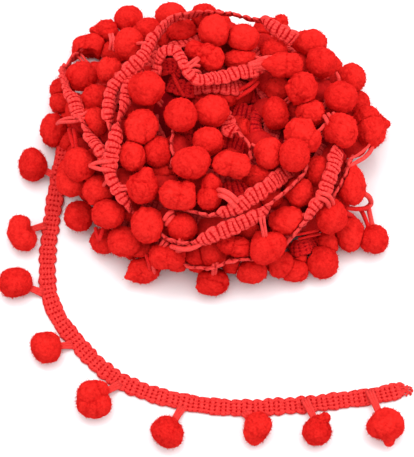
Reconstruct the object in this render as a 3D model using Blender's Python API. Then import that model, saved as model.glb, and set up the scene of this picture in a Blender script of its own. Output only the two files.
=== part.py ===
"""Roll of pompom trim: a loose oval hank of braid with pompoms, and its loose end laid out in an arc.

Metres, +Z up. The surface that the trim lies on is z = 0, and the origin is under the roll's middle.
Places that show are laid out on a sheet held square to one line of sight, from above the front edge, and
each is carried along that line to the roll's form or to the surface. The rest of the roll is wound by rule.
"""
import math
from collections import namedtuple

import bmesh
import bpy
import numpy as np

MM = 0.001

# ---- Driving dimensions ----
PITCH = 22.0 * MM            # from one pompom to the next along the braid
POMPOM = 11.0 * MM           # usual pompom, across
BRAID_WIDE = 6.2 * MM
BRAID_THICK = 1.3 * MM
STRAND = 1.2 * MM            # one yarn strand of a stalk, across
STALK = 2.2 * STRAND         # the strands of a stalk on the roll, taken together
STALK_SPREAD = 0.8 * STRAND  # from the middle of a loose stalk to its outer strands, at the braid
BALL_UNEVEN = 0.05           # of a pompom's radius
DENT_SHARP, TUFT_SHARP = 5.0, 9.0    # how quickly a dent and a tuft end, away from their directions
BRAID_STEP = 3.6 * MM        # between the sections of a turn on the roll
SCALLOPS_A_PITCH = 6         # scallops on the braid's edge from one pompom to the next
SCALLOP_DEEP = 0.35 * MM
GAP = 0.3 * MM               # between pieces that meet
ROLL_GRAIN = 0.8 * MM        # finest shape that the roll's solid keeps
ROLL_FACES = 9600            # triangles that the roll's solid is thinned to
SINK = 0.3 * MM              # how far a pompom's pile gives where it lies on the surface

# ---- The roll's form, through the middles of its outer pompoms ----
HALF_WIDE = 58.0 * MM
HALF_FRONT = 49.0 * MM
HALF_BACK = 54.0 * MM
HEAP_RISE = 30.0 * MM        # above the lowest pompoms' middles
HOLLOW_AT = (10.0 * MM, 11.0 * MM)
HOLLOW_DEEP = 14.0 * MM
HOLLOW_SPREAD = 12.0 * MM
HEART_INSET = 4.4 * MM       # from the pompoms' middles down to the turns they lie on
HEART_WINDS = 7              # turns of the ridges on the heart
HEART_RIDGE = 0.9 * MM
FLAT_SPOT = 0.50             # share of the roll's width that is flat underneath
OUTERMOST = 0.97             # share of the form beyond which a pompom is held by a stalk
INWARD = 0.8                 # where such a stalk ends, as a share of the pompom's place
LOWEST = POMPOM / 2 - SINK
WOUND_LIFT = -5.0 * MM       # of the pompoms that are wound by rule, against the form
WOUND_HIGHEST = 20.0 * MM    # above this the placed pompoms cover the roll
WOUND_APART = 0.92 * POMPOM  # at least, from one pompom's middle to the next
WOUND_UNEVEN = 0.06          # of a wound pompom's size

# ---- The sheet and its line of sight ----
SHEET_STEP = 0.355 * MM      # one sheet step, at the surface under the sheet's middle
SHEET_MIDDLE = (207.0, 228.5)
SIGHT_MEETS = (-3.5 * MM, -29.0 * MM, 0.0)
SIGHT_RISE = math.radians(69.5)
SIGHT_FAR = 0.600

Ball = namedtuple("Ball", "across down wide tall lift")
Turn = namedtuple("Turn", "across down lift twist")
Wound = namedtuple("Wound", "start end climb_start climb_end lift")
Laid = namedtuple("Laid", "across down high")
Loose = namedtuple("Loose", "across down wide tall root_across root_down dent_turn dent tuft_turn tuft")

# Pompoms that show on the roll: place on the sheet (steps), width and height (mm), and how far each lies
# above or below the roll's form (mm).
BACK_BALLS = [Ball(*row) for row in (
    (129, 19, 10.2, 10.2, 0), (171, 17, 11.1, 10.3, 0), (204, 16.5, 10.0, 9.2, -1),
    (214, 31, 11.0, 11.6, 2), (182, 31, 10.5, 10.0, -4), (243, 38, 11.6, 10.0, 1), (104, 32, 10.0, 9.2, 0),
    (91, 45, 11.5, 10.2, 1), (129, 44, 10.6, 11.4, 2), (148, 31, 10.0, 10.0, -1), (281, 22, 5.4, 5.6, 0),
    (274, 50, 9.5, 9.0, -3), (310, 43, 12.2, 9.8, 0), (203, 55, 13.0, 10.0, 1), (240, 60, 11.5, 8.0, -2),
    (285, 65, 12.4, 8.6, 4), (321.5, 62.5, 10.6, 10.8, 1))]
LEFT_BALLS = [Ball(*row) for row in (
    (80.5, 75.5, 11.0, 10.4, 0), (108, 70, 9.5, 10.0, 0), (96, 98, 9.5, 9.5, -1), (95, 122, 9.5, 10.0, -1),
    (63, 90, 9.2, 8.6, 0), (63, 103, 9.5, 8.8, 0), (54, 130, 10.2, 12.4, 0), (80, 164, 11.0, 11.4, 3),
    (72, 141, 9.0, 8.0, -7), (71, 181.5, 10.0, 10.6, 1), (79, 217, 10.4, 10.6, 0), (98, 191, 10.5, 10.5, 0),
    (108, 214, 11.5, 10.2, 2), (104, 241, 9.6, 9.4, -3), (125, 242, 12.0, 10.6, 0))]
MIDDLE_BALLS = [Ball(*row) for row in (
    (147, 89, 13.0, 11.8, 4), (141, 127, 11.6, 12.2, 1), (158, 152, 10.0, 11.5, -4),
    (133, 156, 9.0, 10.5, 0), (181, 115, 11.6, 11.6, 1), (212, 111, 11.8, 11.2, 2),
    (208, 141, 10.5, 10.0, -1), (191, 163, 12.8, 11.4, 3), (232, 165, 13.6, 11.0, 3),
    (276, 114, 9.2, 11.2, -1), (277, 88, 8.8, 9.5, -7), (259, 177, 11.0, 8.0, -4),
    (244, 131, 9.0, 9.0, -7))]
RIGHT_BALLS = [Ball(*row) for row in (
    (302, 89, 10.6, 11.8, 3), (310, 113, 10.4, 9.4, -2), (342, 97.5, 11.8, 11.4, 2),
    (352, 78, 9.6, 9.8, -1), (362, 111, 9.8, 9.8, -1), (341, 130.5, 12.2, 12.0, 2),
    (371, 131, 10.0, 11.8, 0), (375, 126, 8.5, 9.0, -1), (303, 134, 12.8, 11.8, 2),
    (294, 155, 10.8, 11.2, 5), (269, 154, 10.0, 11.0, 1), (317, 171, 9.0, 10.0, -3),
    (299, 192, 9.8, 10.0, -2), (352, 186, 9.6, 13.4, 0), (331, 216, 10.6, 12.2, 2),
    (351, 234, 10.4, 12.2, 0), (373, 239, 11.0, 10.4, 0), (287, 220, 13.4, 10.0, 0))]
FRONT_BALLS = [Ball(*row) for row in (
    (143, 187, 10.8, 11.6, 2), (178, 195, 12.8, 11.8, 3), (211, 192, 10.2, 11.8, 1),
    (147, 225, 11.2, 12.6, 2), (182, 227, 10.0, 10.0, -1), (167, 256, 14.0, 9.8, 1),
    (144, 270, 11.6, 9.4, 0), (213, 281, 11.4, 9.8, 0), (212, 255, 10.0, 10.0, -4),
    (235, 246, 11.6, 9.6, 0), (251, 271, 11.4, 8.8, 0), (267, 248, 11.6, 11.8, 3), (281, 264, 10.0, 9.4, 0),
    (295, 270, 10.0, 8.2, -1), (322, 262, 11.0, 11.2, 0), (142, 247, 9.0, 9.0, -4),
    (194, 259, 9.4, 9.2, -3), (328, 243, 7.6, 9.0, -5), (233, 271, 7.6, 7.6, -3), (298, 257, 7.6, 7.6, -6),
    (247, 229, 8.4, 8.4, -7), (271, 197, 8.0, 8.0, -7), (163, 170, 8.0, 8.0, -8), (177, 260, 8.6, 8.6, -4),
    (129, 252, 7.6, 7.6, -4))]
PLACED_BALLS = BACK_BALLS + LEFT_BALLS + MIDDLE_BALLS + RIGHT_BALLS + FRONT_BALLS

# Turns of braid that show on the roll: place on the sheet (steps), height over the roll's form (mm), and
# how far the face is turned away from the line of sight (degrees).
TURNS = {
    "over_back": [Turn(*row) for row in (
        (295, 40.5, 3, 35), (289, 37, 4, 42), (280, 31, 5, 45), (270, 25, 5, 62), (263, 22, 4, 80),
        (251, 19, 3, 89), (240, 16, 3, 89), (228, 14, 3, 87), (206, 13.5, 4, 82), (190, 15, 5, 80),
        (180, 16.5, 5, 79), (172, 20, 5, 78), (165, 25.5, 5, 77), (158, 33, 5, 76), (152, 41, 5, 70),
        (147, 50, 5, 64), (141, 59, 5, 48), (131, 69, 5, 42), (122, 77.5, 5, 58), (115, 86, 5, 64),
        (110.5, 95, 5, 66), (109, 104, 5, 64), (108.5, 113, 5, 68), (109.5, 121, 4, 77), (111, 129, 3, 84),
        (113, 136, -1, 86))],
    "left_inner": [Turn(*row) for row in (
        (140, 66, 0, 50), (134, 77, 2, 50), (129, 88, 3, 55), (126, 97, 3, 64), (124.5, 104, 3.5, 74),
        (122, 112, 4, 78), (119, 121, 4, 86), (117.5, 127, 4, 78), (116.5, 134, 4.5, 62), (115, 141, 5, 53),
        (113, 149, 5, 44), (111, 157, 5, 40), (110, 165, 5, 46), (110, 172, 5, 66), (112, 179, 5, 72),
        (116, 187, 4.5, 64), (121, 194, 4, 64), (126, 200.5, 3, 72), (131, 207, -1, 80))],
    "left_outer": [Turn(*row) for row in (
        (79, 54, 2, 82), (73, 58.5, 3, 84), (68, 64, 3, 86), (65, 71, 4, 82), (65, 79, 4, 76),
        (66, 86, 4, 79), (69, 92, 4, 77), (73.5, 98, 4, 64), (75.5, 104, 4, 51), (77, 110, 4, 53),
        (79.5, 115, 4, 64), (82.5, 121, 4, 79), (85, 127, 4, 82), (88.5, 133.5, 4, 77), (93, 140, 4, 71),
        (98, 147, 5, 66), (103, 154, 5, 60), (107, 163, 3, 60), (111, 174, 0, 70), (113, 182, -3, 75))],
    "inner_loop": [Turn(*row) for row in (
        (156, 75, -1, 72), (157, 66, 1, 74), (158.5, 58, 3, 76), (163, 52, 5, 70), (170, 50, 6, 70),
        (176.5, 51.5, 6, 70), (181.5, 57.5, 6, 72), (184.5, 65, 6, 74), (187.5, 72, 6, 72),
        (194, 77.5, 6, 70), (203, 79.3, 6, 70), (211, 78.5, 6, 62), (220, 77.3, 6, 54), (230, 74.5, 6, 51),
        (240, 72.3, 6, 51), (250, 70.8, 5, 53), (258, 69, 4, 60), (268, 65, 1, 70))],
    "hollow_back": [Turn(*row) for row in (
        (194, 88, -5, 40), (207, 84, 0, 45), (222, 85.5, 0.5, 45), (235, 86.5, 0, 55), (246, 88, -3, 65))],
    "hollow_front": [Turn(*row) for row in (
        (219, 108, -4, 5), (226, 120, -1, 10), (230, 129, -1, 15), (238, 133, -1, 78), (245, 140, -1, 86),
        (250, 148, -1, 86), (252, 160, -3, 80))],
    "middle_upper": [Turn(*row) for row in (
        (291, 168, -2, 25), (281, 176, 0, 25), (273, 183, 3, 35), (266, 188, 4, 36), (258, 193, 5, 36),
        (250, 198.5, 5, 38), (243, 204, 5, 42), (236, 208, 5, 52), (228, 211.5, 4.5, 66), (220, 214, 4, 76),
        (212, 215.5, 3, 85), (204, 214.5, 2, 88), (196, 212, 1, 88), (188, 211, -2, 88))],
    "middle_lower": [Turn(*row) for row in (
        (306, 168, 0, 86), (301, 177, 2, 86), (292, 185.5, 3, 87), (284, 192.5, 4, 87), (276, 199, 5, 86),
        (270, 204.5, 5, 84), (266, 209, 5, 76), (261, 213.5, 5, 72), (255, 217, 5, 64), (248, 221, 5, 55),
        (241, 223.5, 5, 40), (233, 226.5, 5, 38), (225, 230, 5, 38), (217, 233.5, 5, 42),
        (209, 237.5, 5, 52), (202, 241, 4.5, 72), (196, 243, 4, 80), (187, 243.5, 4, 84),
        (178, 242.5, 3, 84), (170, 240, 2, 84), (163, 236, -1, 84))],
    "right_front": [Turn(*row) for row in (
        (340, 150, 1, 40), (336, 156, 2, 46), (334.5, 163, 3, 48), (332.5, 170, 4, 48), (330, 178, 5, 50),
        (327, 186, 5, 52), (324, 193, 5, 55), (319, 201, 5, 63), (313.5, 209, 5, 73), (308, 217, 5, 76),
        (302, 225, 4, 83), (296, 233, 3, 86), (289, 240.5, 1, 88), (282, 247, -2, 88))],
    "right_behind": [Turn(*row) for row in (
        (354, 153, -2, 80), (350, 161, -1, 82), (347, 169, -1, 84), (344, 177, 0, 84), (340, 186, 0, 84),
        (335, 194, 0, 84), (331, 203, -1, 84))],
    "front_low": [Turn(*row) for row in (
        (182, 261, -2, 84), (190, 266, 1, 86), (200, 268, 2, 88), (211, 268, 3, 88), (220, 265, 3, 88),
        (230, 261.5, 3, 86), (241, 259.5, 2, 86), (252, 258, 0, 84), (262, 254, -2, 80))],
    "front_right_low": [Turn(*row) for row in (
        (292, 249, -4, 50), (299, 248, -2, 30), (307, 246, -1.5, 20), (314, 243, -3, 30),
        (321, 239, -5, 40))],
}

# Turns of braid round the back and the sides, which are wound by rule: the angles round the roll and up its
# form at both ends (degrees), and the height over the form (mm).
WOUND_TURNS = [Wound(*row) for row in ((152, 32, 28, 22, -3.2), (36, 146, 47, 44, -3.2))]

# Places on the sheet that the pompoms wound by rule leave clear, because what lies behind or the braid shows
# there, and how far round them stays clear, in sheet steps.
OPEN_SPOTS = (
    (246, 20), (188, 3), (268, 10), (290, 15), (342, 57), (370, 90), (374, 160), (364, 201), (303, 243),
    (52, 148), (376, 180), (362, 164), (373, 170), (246, 104), (96, 58), (112, 55), (232, 4), (78, 131),
    (69, 154), (358, 161), (246, 22), (246, 26))
OPEN_SPREAD = 2.0

# The loose end: place on the sheet (steps) and height of the braid's middle (mm).
LOOSE_ROUTE = [Laid(*row) for row in (
    (72, 130, 4.0), (68.5, 139, 4.4), (65, 148, 4.8), (62.5, 158, 5.0), (60.5, 168, 4.4), (58, 180, 3.2),
    (55, 198, 1.8), (51.5, 222, 0.7), (48, 250, 0.7), (47.5, 282, 0.7), (50, 297, 0.7), (55, 311, 0.7),
    (63, 325, 0.7), (76, 341, 0.7), (95, 362, 0.7), (119, 380, 0.7), (149, 393, 0.7), (180, 401, 0.7),
    (211, 406, 0.7), (244, 408, 0.7), (276, 406.5, 0.7), (308, 404.3, 0.7), (340, 400.3, 0.7),
    (370, 396.5, 0.7), (393, 391.8, 0.7), (402, 390, 0.7))]

# The loose pompoms: place (steps), width and height (mm), the stalk's root on the braid (steps), and a
# dent and a tuft, each with its direction on the sheet (degrees from across, upward) and depth or
# height (mm).
LOOSE_BALLS = [Loose(*row) for row in (
    (32, 165.5, 10.0, 11.8, 57, 174, 300, 0.5, 120, 0.3), (23, 232, 10.2, 12.8, 50, 229, 40, 2.2, 90, 0.6),
    (14.5, 283, 11.4, 10.8, 47, 288, 250, 0.5, 100, 0.3), (46, 347, 10.8, 10.8, 75, 341, 200, 0.4, 150, 0.6),
    (93, 398.5, 13.2, 12.6, 119, 380, 300, 0.9, 300, 0.4), (168, 431, 11.2, 11.2, 180, 401, 80, 0.6, 60, 0.7),
    (258, 428, 9.8, 11.4, 244, 408, 200, 0.5, 260, 0.4), (319, 430, 10.8, 11.0, 307, 401, 90, 1.2, 55, 1.4),
    (385, 427, 12.6, 12.8, 369, 394, 170, 0.6, 285, 1.8))]

RED = (0.78, 0.012, 0.010, 1.0)
CORAL = (0.80, 0.040, 0.040, 1.0)


# ---- Places ----

def sight_frame():
    """The sheet's right, its up and the way of sight, as unit vectors."""
    right = np.array([1.0, 0.0, 0.0])
    up = np.array([0.0, math.sin(SIGHT_RISE), math.cos(SIGHT_RISE)])
    ahead = np.array([0.0, math.cos(SIGHT_RISE), -math.sin(SIGHT_RISE)])
    return right, up, ahead


def sight_lines(across, down):
    """The eye, and the direction of the line of sight through each sheet place."""
    right, up, ahead = sight_frame()
    slope = SHEET_STEP / SIGHT_FAR
    x = (np.asarray(across, float) - SHEET_MIDDLE[0]) * slope
    y = (SHEET_MIDDLE[1] - np.asarray(down, float)) * slope
    way = ahead + x[..., None] * right + y[..., None] * up
    return np.array(SIGHT_MEETS) - SIGHT_FAR * ahead, way


def sheet_place(point):
    """Where a point shows on the sheet, and how many sheet steps a metre makes there."""
    right, up, ahead = sight_frame()
    offset = point - (np.array(SIGHT_MEETS) - SIGHT_FAR * ahead)
    scale = SIGHT_FAR / SHEET_STEP / (offset @ ahead)
    return SHEET_MIDDLE[0] + scale * (offset @ right), SHEET_MIDDLE[1] - scale * (offset @ up), scale


def at_height(across, down, high):
    """The points of the sight lines that are at these heights."""
    eye, way = sight_lines(across, down)
    far = (np.asarray(high, float) - eye[2]) / way[..., 2]
    return eye + far[..., None] * way


def form_height(x, y, lift=0.0):
    """Half an ellipsoid over the lowest pompoms, with a soft bell-shaped hollow taken out of its top."""
    half_deep = np.where(y < 0, HALF_FRONT, HALF_BACK) + lift
    reach = np.clip((x / (HALF_WIDE + lift)) ** 2 + (y / half_deep) ** 2, 0.0, 1.0)
    from_hollow = (x - HOLLOW_AT[0]) ** 2 + (y - HOLLOW_AT[1]) ** 2
    hollow = HOLLOW_DEEP * np.exp(-from_hollow / (2 * HOLLOW_SPREAD ** 2))
    dome = (HEAP_RISE + lift) * np.sqrt(1.0 - reach)
    return LOWEST + np.maximum(dome - hollow * np.sqrt(1.0 - reach), 0.0)


def on_form(across, down, lift):
    """The first point where each sight line, coming down, meets the form at its lift."""
    steps = 600
    highs = np.linspace(HEAP_RISE * 2, LOWEST, steps)
    across, down, lift = (np.asarray(v, float)[:, None] for v in (across, down, lift))
    points = at_height(across, down, np.broadcast_to(highs, (len(across), steps)))
    inside = highs <= form_height(points[..., 0], points[..., 1], lift) + 1e-9
    first = inside.argmax(axis=1)
    return points[np.arange(len(first)), first]


def smooth_route(points, step, values=None):
    """A Catmull-Rom line through the points, with a point at about every step along it."""
    points = np.asarray(points, float)
    rows = points
    if values is not None:
        rows = np.hstack([points, np.asarray(values, float).reshape(len(points), -1)])
    ends = np.vstack([2 * rows[:1] - rows[1:2], rows, 2 * rows[-1:] - rows[-2:-1]])
    fine = 24
    t = np.linspace(0, 1, fine, endpoint=False)[:, None]
    pieces = []
    for a, b, c, d in zip(ends[:-3], ends[1:-2], ends[2:-1], ends[3:]):
        pieces.append(0.5 * (2 * b + (c - a) * t + (2 * a - 5 * b + 4 * c - d) * t ** 2
                             + (3 * b - a - 3 * c + d) * t ** 3))
    line = np.vstack(pieces + [rows[-1:]])
    run = np.concatenate([[0.0], np.cumsum(np.linalg.norm(np.diff(line[:, :3], axis=0), axis=1))])
    count = max(2, int(round(run[-1] / step)) + 1)
    marks = np.linspace(0, run[-1], count)
    return np.stack([np.interp(marks, run, line[:, k]) for k in range(line.shape[1])], axis=1)


def along(points):
    """Unit tangents of a line of points."""
    way = np.gradient(points, axis=0)
    return way / np.linalg.norm(way, axis=1, keepdims=True)


# ---- Shapes ----

def new_object(name, points, faces):
    mesh = bpy.data.meshes.new(name)
    mesh.from_pydata([tuple(p) for p in points], [], faces)
    mesh.validate()
    piece = bpy.data.objects.new(name, mesh)
    bpy.context.scene.collection.objects.link(piece)
    return piece


def tube(name, centres, sides, ups, section):
    """A closed tube: section gives, for each station, its corners' (side, up) offsets."""
    around = section.shape[1]
    rings = centres[:, None, :] + section[..., :1] * sides[:, None, :] + section[..., 1:] * ups[:, None, :]
    count = len(centres)
    faces = [list(range(around))[::-1], [(count - 1) * around + k for k in range(around)]]
    for i in range(count - 1):
        for k in range(around):
            n = (k + 1) % around
            faces.append([i * around + k, i * around + n, (i + 1) * around + n, (i + 1) * around + k])
    piece = new_object(name, rings.reshape(-1, 3), faces)
    face_outward(piece)
    return piece


def face_outward(piece):
    work = bmesh.new()
    work.from_mesh(piece.data)
    bmesh.ops.recalc_face_normals(work, faces=work.faces)
    work.to_mesh(piece.data)
    work.free()


def braid_section(count, wider=0.0):
    """A flat six-sided section. Odd stations are wider and thicker, which gives the edge its scallops."""
    shoulder, thin = 0.82, 0.82
    bulge = (np.arange(count) % 2)[:, None]
    half = BRAID_WIDE / 2 - SCALLOP_DEEP * (1 - bulge) + wider
    thick = BRAID_THICK / 2 * (thin + (1 - thin) * bulge) + wider
    side = np.array([-1.0, -shoulder, shoulder, 1.0, shoulder, -shoulder]) * half
    up = np.array([0.0, -1.0, -1.0, 0.0, 1.0, 1.0]) * thick
    return np.stack([side, up], axis=-1)


def turn_of_braid(name, rows, step):
    """One turn on the roll, as a flat strip whose face is twisted away from the line of sight."""
    across, down, lift, twist = (np.array(column, float) for column in zip(*rows))
    points = on_form(across, down, lift * MM)
    line = smooth_route(points, step, twist)
    centres = line[:, :3]
    way = along(centres)
    to_eye = -sight_frame()[2]
    side = np.cross(way, to_eye)
    side /= np.linalg.norm(side, axis=1, keepdims=True)
    face = np.cross(side, way)
    angle = np.radians(line[:, 3])[:, None]
    sides = side * np.cos(angle) + face * np.sin(angle)
    ups = np.cross(sides, way)
    section = braid_section(len(centres))
    rise = section[..., :1] * sides[:, None, 2:] + section[..., 1:] * ups[:, None, 2:]
    low = np.abs(rise).max(axis=(1, 2))
    centres[:, 2] = np.maximum(centres[:, 2], low)
    return tube(name, centres, sides, ups, section)


def wound_turn_line(row):
    """The middle of a turn round the form at its lift, and the form's outward direction there."""
    t = np.linspace(0, 1, 60)
    angle = np.radians(row.start + (row.end - row.start) * t)
    climb = np.radians(row.climb_start + (row.climb_end - row.climb_start) * t + 2.0 * np.sin(9 * t))
    half_deep = np.where(np.sin(angle) < 0, HALF_FRONT, HALF_BACK) + row.lift * MM
    half_wide = HALF_WIDE + row.lift * MM
    x = half_wide * np.cos(climb) * np.cos(angle)
    y = half_deep * np.cos(climb) * np.sin(angle)
    points = np.stack([x, y, form_height(x, y, row.lift * MM)], axis=1)
    out = np.stack([x / half_wide ** 2, y / half_deep ** 2, np.sin(climb) / HEAP_RISE], axis=1)
    return points, out / np.linalg.norm(out, axis=1, keepdims=True)


def wound_turn(row, step):
    """A turn of braid round the roll, face outward."""
    points, out = wound_turn_line(row)
    line = smooth_route(points, step, out)
    centres = line[:, :3]
    way = along(centres)
    sides = np.cross(way, line[:, 3:])
    sides /= np.linalg.norm(sides, axis=1, keepdims=True)
    return tube("turn", centres, sides, np.cross(sides, way), braid_section(len(centres)))


def wobble(directions, seed):
    """Two crossed waves over a ball, at angles that the seed turns."""
    a = np.array([math.sin(seed * 1.7), math.cos(seed * 2.3), math.sin(seed * 0.9 + 1.0)])
    b = np.array([math.cos(seed * 1.1), math.sin(seed * 0.7 + 2.0), math.cos(seed * 1.9)])
    return np.sin(3.1 * directions @ a + seed) * np.sin(3.7 * directions @ b - seed)


def ball_object(name, centre, wide, tall, detail, seed, bumps=()):
    """A pompom: a round ball squashed to its width and height on the sheet, uneven, level where it lies.

    Each bump is a direction, a height that is less than nothing for a dent, and a sharpness.
    """
    work = bmesh.new()
    bmesh.ops.create_icosphere(work, subdivisions=detail, radius=1.0)
    directions = np.array([v.co[:] for v in work.verts])
    right, up, ahead = sight_frame()
    spin = seed * 2.4
    turned = directions.copy()
    turned[:, 0] = directions[:, 0] * math.cos(spin) - directions[:, 1] * math.sin(spin)
    turned[:, 1] = directions[:, 0] * math.sin(spin) + directions[:, 1] * math.cos(spin)
    size = 1.0 + BALL_UNEVEN * wobble(turned, seed)
    points = (turned[:, :1] * right * wide / 2 + turned[:, 1:2] * up * tall / 2
              + turned[:, 2:] * ahead * (wide + tall) / 4) * size[:, None]
    unit = points / np.linalg.norm(points, axis=1, keepdims=True)
    for way, height, sharpness in bumps:
        points = points + unit * height * np.exp(sharpness * (unit @ way - 1.0))[:, None]
    points = points + centre
    points[:, 2] = np.maximum(points[:, 2], 0.0)
    for vert, point in zip(work.verts, points):
        vert.co = point
    mesh = bpy.data.meshes.new(name)
    work.to_mesh(mesh)
    work.free()
    piece = bpy.data.objects.new(name, mesh)
    bpy.context.scene.collection.objects.link(piece)
    return piece


def strand(name, start, end, across):
    """One yarn strand of a stalk, with four sides, a little arched."""
    t = np.linspace(0, 1, 4)[:, None]
    centres = start + (end - start) * t
    centres[:, 2] += 0.25 * across * np.sin(math.pi * t[:, 0])
    way = along(centres)
    side = np.cross(way, np.array([0.0, 0.0, 1.0]))
    side /= np.linalg.norm(side, axis=1, keepdims=True)
    ups = np.cross(side, way)
    half = across / 2
    square = np.array([(-half, 0.0), (0.0, -half), (half, 0.0), (0.0, half)])
    return tube(name, centres, side, ups, np.broadcast_to(square, (len(centres), 4, 2)))


def combined(name, parts):
    """The union of the parts as one closed body."""
    inside = bpy.data.collections.new(name + "_parts")
    first, others = parts[0], parts[1:]
    for other in others:
        inside.objects.link(other)
    join = first.modifiers.new("join", "BOOLEAN")
    join.operation = "UNION"
    join.solver = "EXACT"
    join.operand_type = "COLLECTION"
    join.collection = inside
    made = as_modified(first)
    for part in parts:
        bpy.data.objects.remove(part)
    bpy.data.collections.remove(inside)
    made.name = name
    piece = bpy.data.objects.new(name, made)
    bpy.context.scene.collection.objects.link(piece)
    return piece


def as_modified(piece):
    """A new mesh of the piece with its modifiers applied."""
    return bpy.data.meshes.new_from_object(piece.evaluated_get(bpy.context.evaluated_depsgraph_get()))


def thinned(piece, grain, faces):
    """One skin over the joined parts, with its faces thinned, and level where it lies on the surface."""
    skin = piece.modifiers.new("skin", "REMESH")
    skin.mode = "VOXEL"
    skin.voxel_size = grain
    piece.data = as_modified(piece)
    piece.modifiers.clear()
    thin = piece.modifiers.new("thin", "DECIMATE")
    thin.ratio = faces / (2 * len(piece.data.polygons))
    thin.use_collapse_triangulate = True
    piece.data = as_modified(piece)
    piece.modifiers.clear()
    for vert in piece.data.vertices:
        if vert.co.z < grain / 2:
            vert.co.z = 0.0
    return piece


def cut_clear(piece, cutter):
    """The piece less the room that its neighbour takes up."""
    cut = piece.modifiers.new("cut", "BOOLEAN")
    cut.operation = "DIFFERENCE"
    cut.solver = "EXACT"
    cut.object = cutter
    piece.data = as_modified(piece)
    piece.modifiers.clear()
    return piece


def finished(piece, colour, roughness):
    material = bpy.data.materials.new(piece.name + "_yarn")
    material.use_nodes = True
    shader = material.node_tree.nodes["Principled BSDF"]
    shader.inputs["Base Color"].default_value = colour
    shader.inputs["Roughness"].default_value = roughness
    shader.inputs["Metallic"].default_value = 0.0
    piece.data.materials.clear()
    piece.data.materials.append(material)
    piece.data.shade_smooth()
    piece.data.set_sharp_from_angle(angle=math.radians(50))
    return piece


# ---- The roll ----

def heart():
    """The wound form that the pompoms lie on: rings of the form, drawn in under it to the flat spot."""
    around = 72
    angle = np.linspace(0, 2 * math.pi, around, endpoint=False)
    shares = np.sin(np.linspace(0.05, 0.48, 24) * math.pi)
    half_wide = HALF_WIDE - HEART_INSET
    half_deep = np.where(np.sin(angle) < 0, HALF_FRONT, HALF_BACK) - HEART_INSET
    points = []
    for share in shares:
        x = share * half_wide * np.cos(angle)
        y = share * half_deep * np.sin(angle)
        ridge = HEART_RIDGE * np.cos(2 * math.pi * HEART_WINDS * share + angle) * (1 - share ** 6)
        points.append(np.stack([x, y, form_height(x, y, -HEART_INSET) + ridge], axis=1))
    for share, high in ((1.0, LOWEST), (0.90, 0.45 * LOWEST), (FLAT_SPOT, 0.0)):
        x = share * half_wide * np.cos(angle)
        y = share * half_deep * np.sin(angle)
        points.append(np.stack([x, y, np.full(around, high)], axis=1))
    rings = np.array(points)
    top = np.array([[0.0, 0.0, rings[0, :, 2].mean()]])
    faces = [[0, 1 + k, 1 + (k + 1) % around] for k in range(around)]
    for i in range(len(rings) - 1):
        for k in range(around):
            n = (k + 1) % around
            low, high = 1 + i * around, 1 + (i + 1) * around
            faces.append([low + k, high + k, high + n, low + n])
    faces.append([1 + (len(rings) - 1) * around + k for k in range(around)][::-1])
    piece = new_object("heart", np.vstack([top, rings.reshape(-1, 3)]), faces)
    face_outward(piece)
    return piece


def placed_centres():
    across, down, wide, tall, lift = (np.array(column, float) for column in zip(*PLACED_BALLS))
    centres = on_form(across, down, lift * MM)
    low = (wide + tall) / 4 * MM - SINK
    centres[:, 2] = np.maximum(centres[:, 2], low)
    return centres


def leaves_clear(point):
    """Whether a usual pompom there covers none of the open spots."""
    across, down, scale = sheet_place(point)
    room = POMPOM / 2 * scale + OPEN_SPREAD
    return all(math.hypot(across - spot[0], down - spot[1]) > room for spot in OPEN_SPOTS)


def wound_centres(taken):
    """Pompoms of the turns that are wound by rule: a spiral from the surface up over the form.

    One lies wherever the spiral comes to a place that is clear of every other pompom and of the open spots.
    """
    stride = 0.4 * POMPOM
    kept = [np.array(centre) for centre in taken]
    found = []
    climb, angle = 0.0, 0.35
    while climb < math.radians(84):
        reach = math.cos(climb)
        half_deep = HALF_FRONT if math.sin(angle) < 0 else HALF_BACK
        x = (HALF_WIDE + WOUND_LIFT) * reach * math.cos(angle)
        y = (half_deep + WOUND_LIFT) * reach * math.sin(angle)
        point = np.array([x, y, float(form_height(np.array(x), np.array(y), WOUND_LIFT))])
        if min(np.linalg.norm(np.array(kept) - point, axis=1)) > WOUND_APART and leaves_clear(point):
            kept.append(point)
            found.append(point)
        step = stride / max(math.hypot(x, y), POMPOM)
        angle += step
        climb += step / (2 * math.pi) * stride / (0.8 * HALF_FRONT)
    return [point for point in found if point[2] < WOUND_HIGHEST]


def wound_roll(rooms):
    parts = [heart()]
    centres = placed_centres()
    for number, (row, centre) in enumerate(zip(PLACED_BALLS, centres)):
        parts.append(ball_object("ball", centre, row.wide * MM, row.tall * MM, 2, number + 1.0))
        if row.lift > 0 or math.hypot(centre[0] / HALF_WIDE, centre[1] / HALF_FRONT) > OUTERMOST:
            parts.append(strand("stalk", centre, centre * INWARD, STALK))
    for number, centre in enumerate(wound_centres(centres)):
        size = POMPOM * (1.0 + WOUND_UNEVEN * math.sin(number * 1.9))
        parts.append(ball_object("ball", centre, size, size, 2, number + 101.0))
    for name, rows in TURNS.items():
        parts.append(turn_of_braid(name, rows, BRAID_STEP))
    for row in WOUND_TURNS:
        parts.append(wound_turn(row, BRAID_STEP))
    roll = thinned(combined("wound_roll", parts), ROLL_GRAIN, ROLL_FACES)
    for room in rooms:
        roll = cut_clear(roll, room)
    return finished(roll, RED, 0.9)


# ---- The loose end ----

def loose_line(step):
    across, down, high = (np.array(column, float) for column in zip(*LOOSE_ROUTE))
    return smooth_route(at_height(across, down, high * MM), step)


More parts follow.
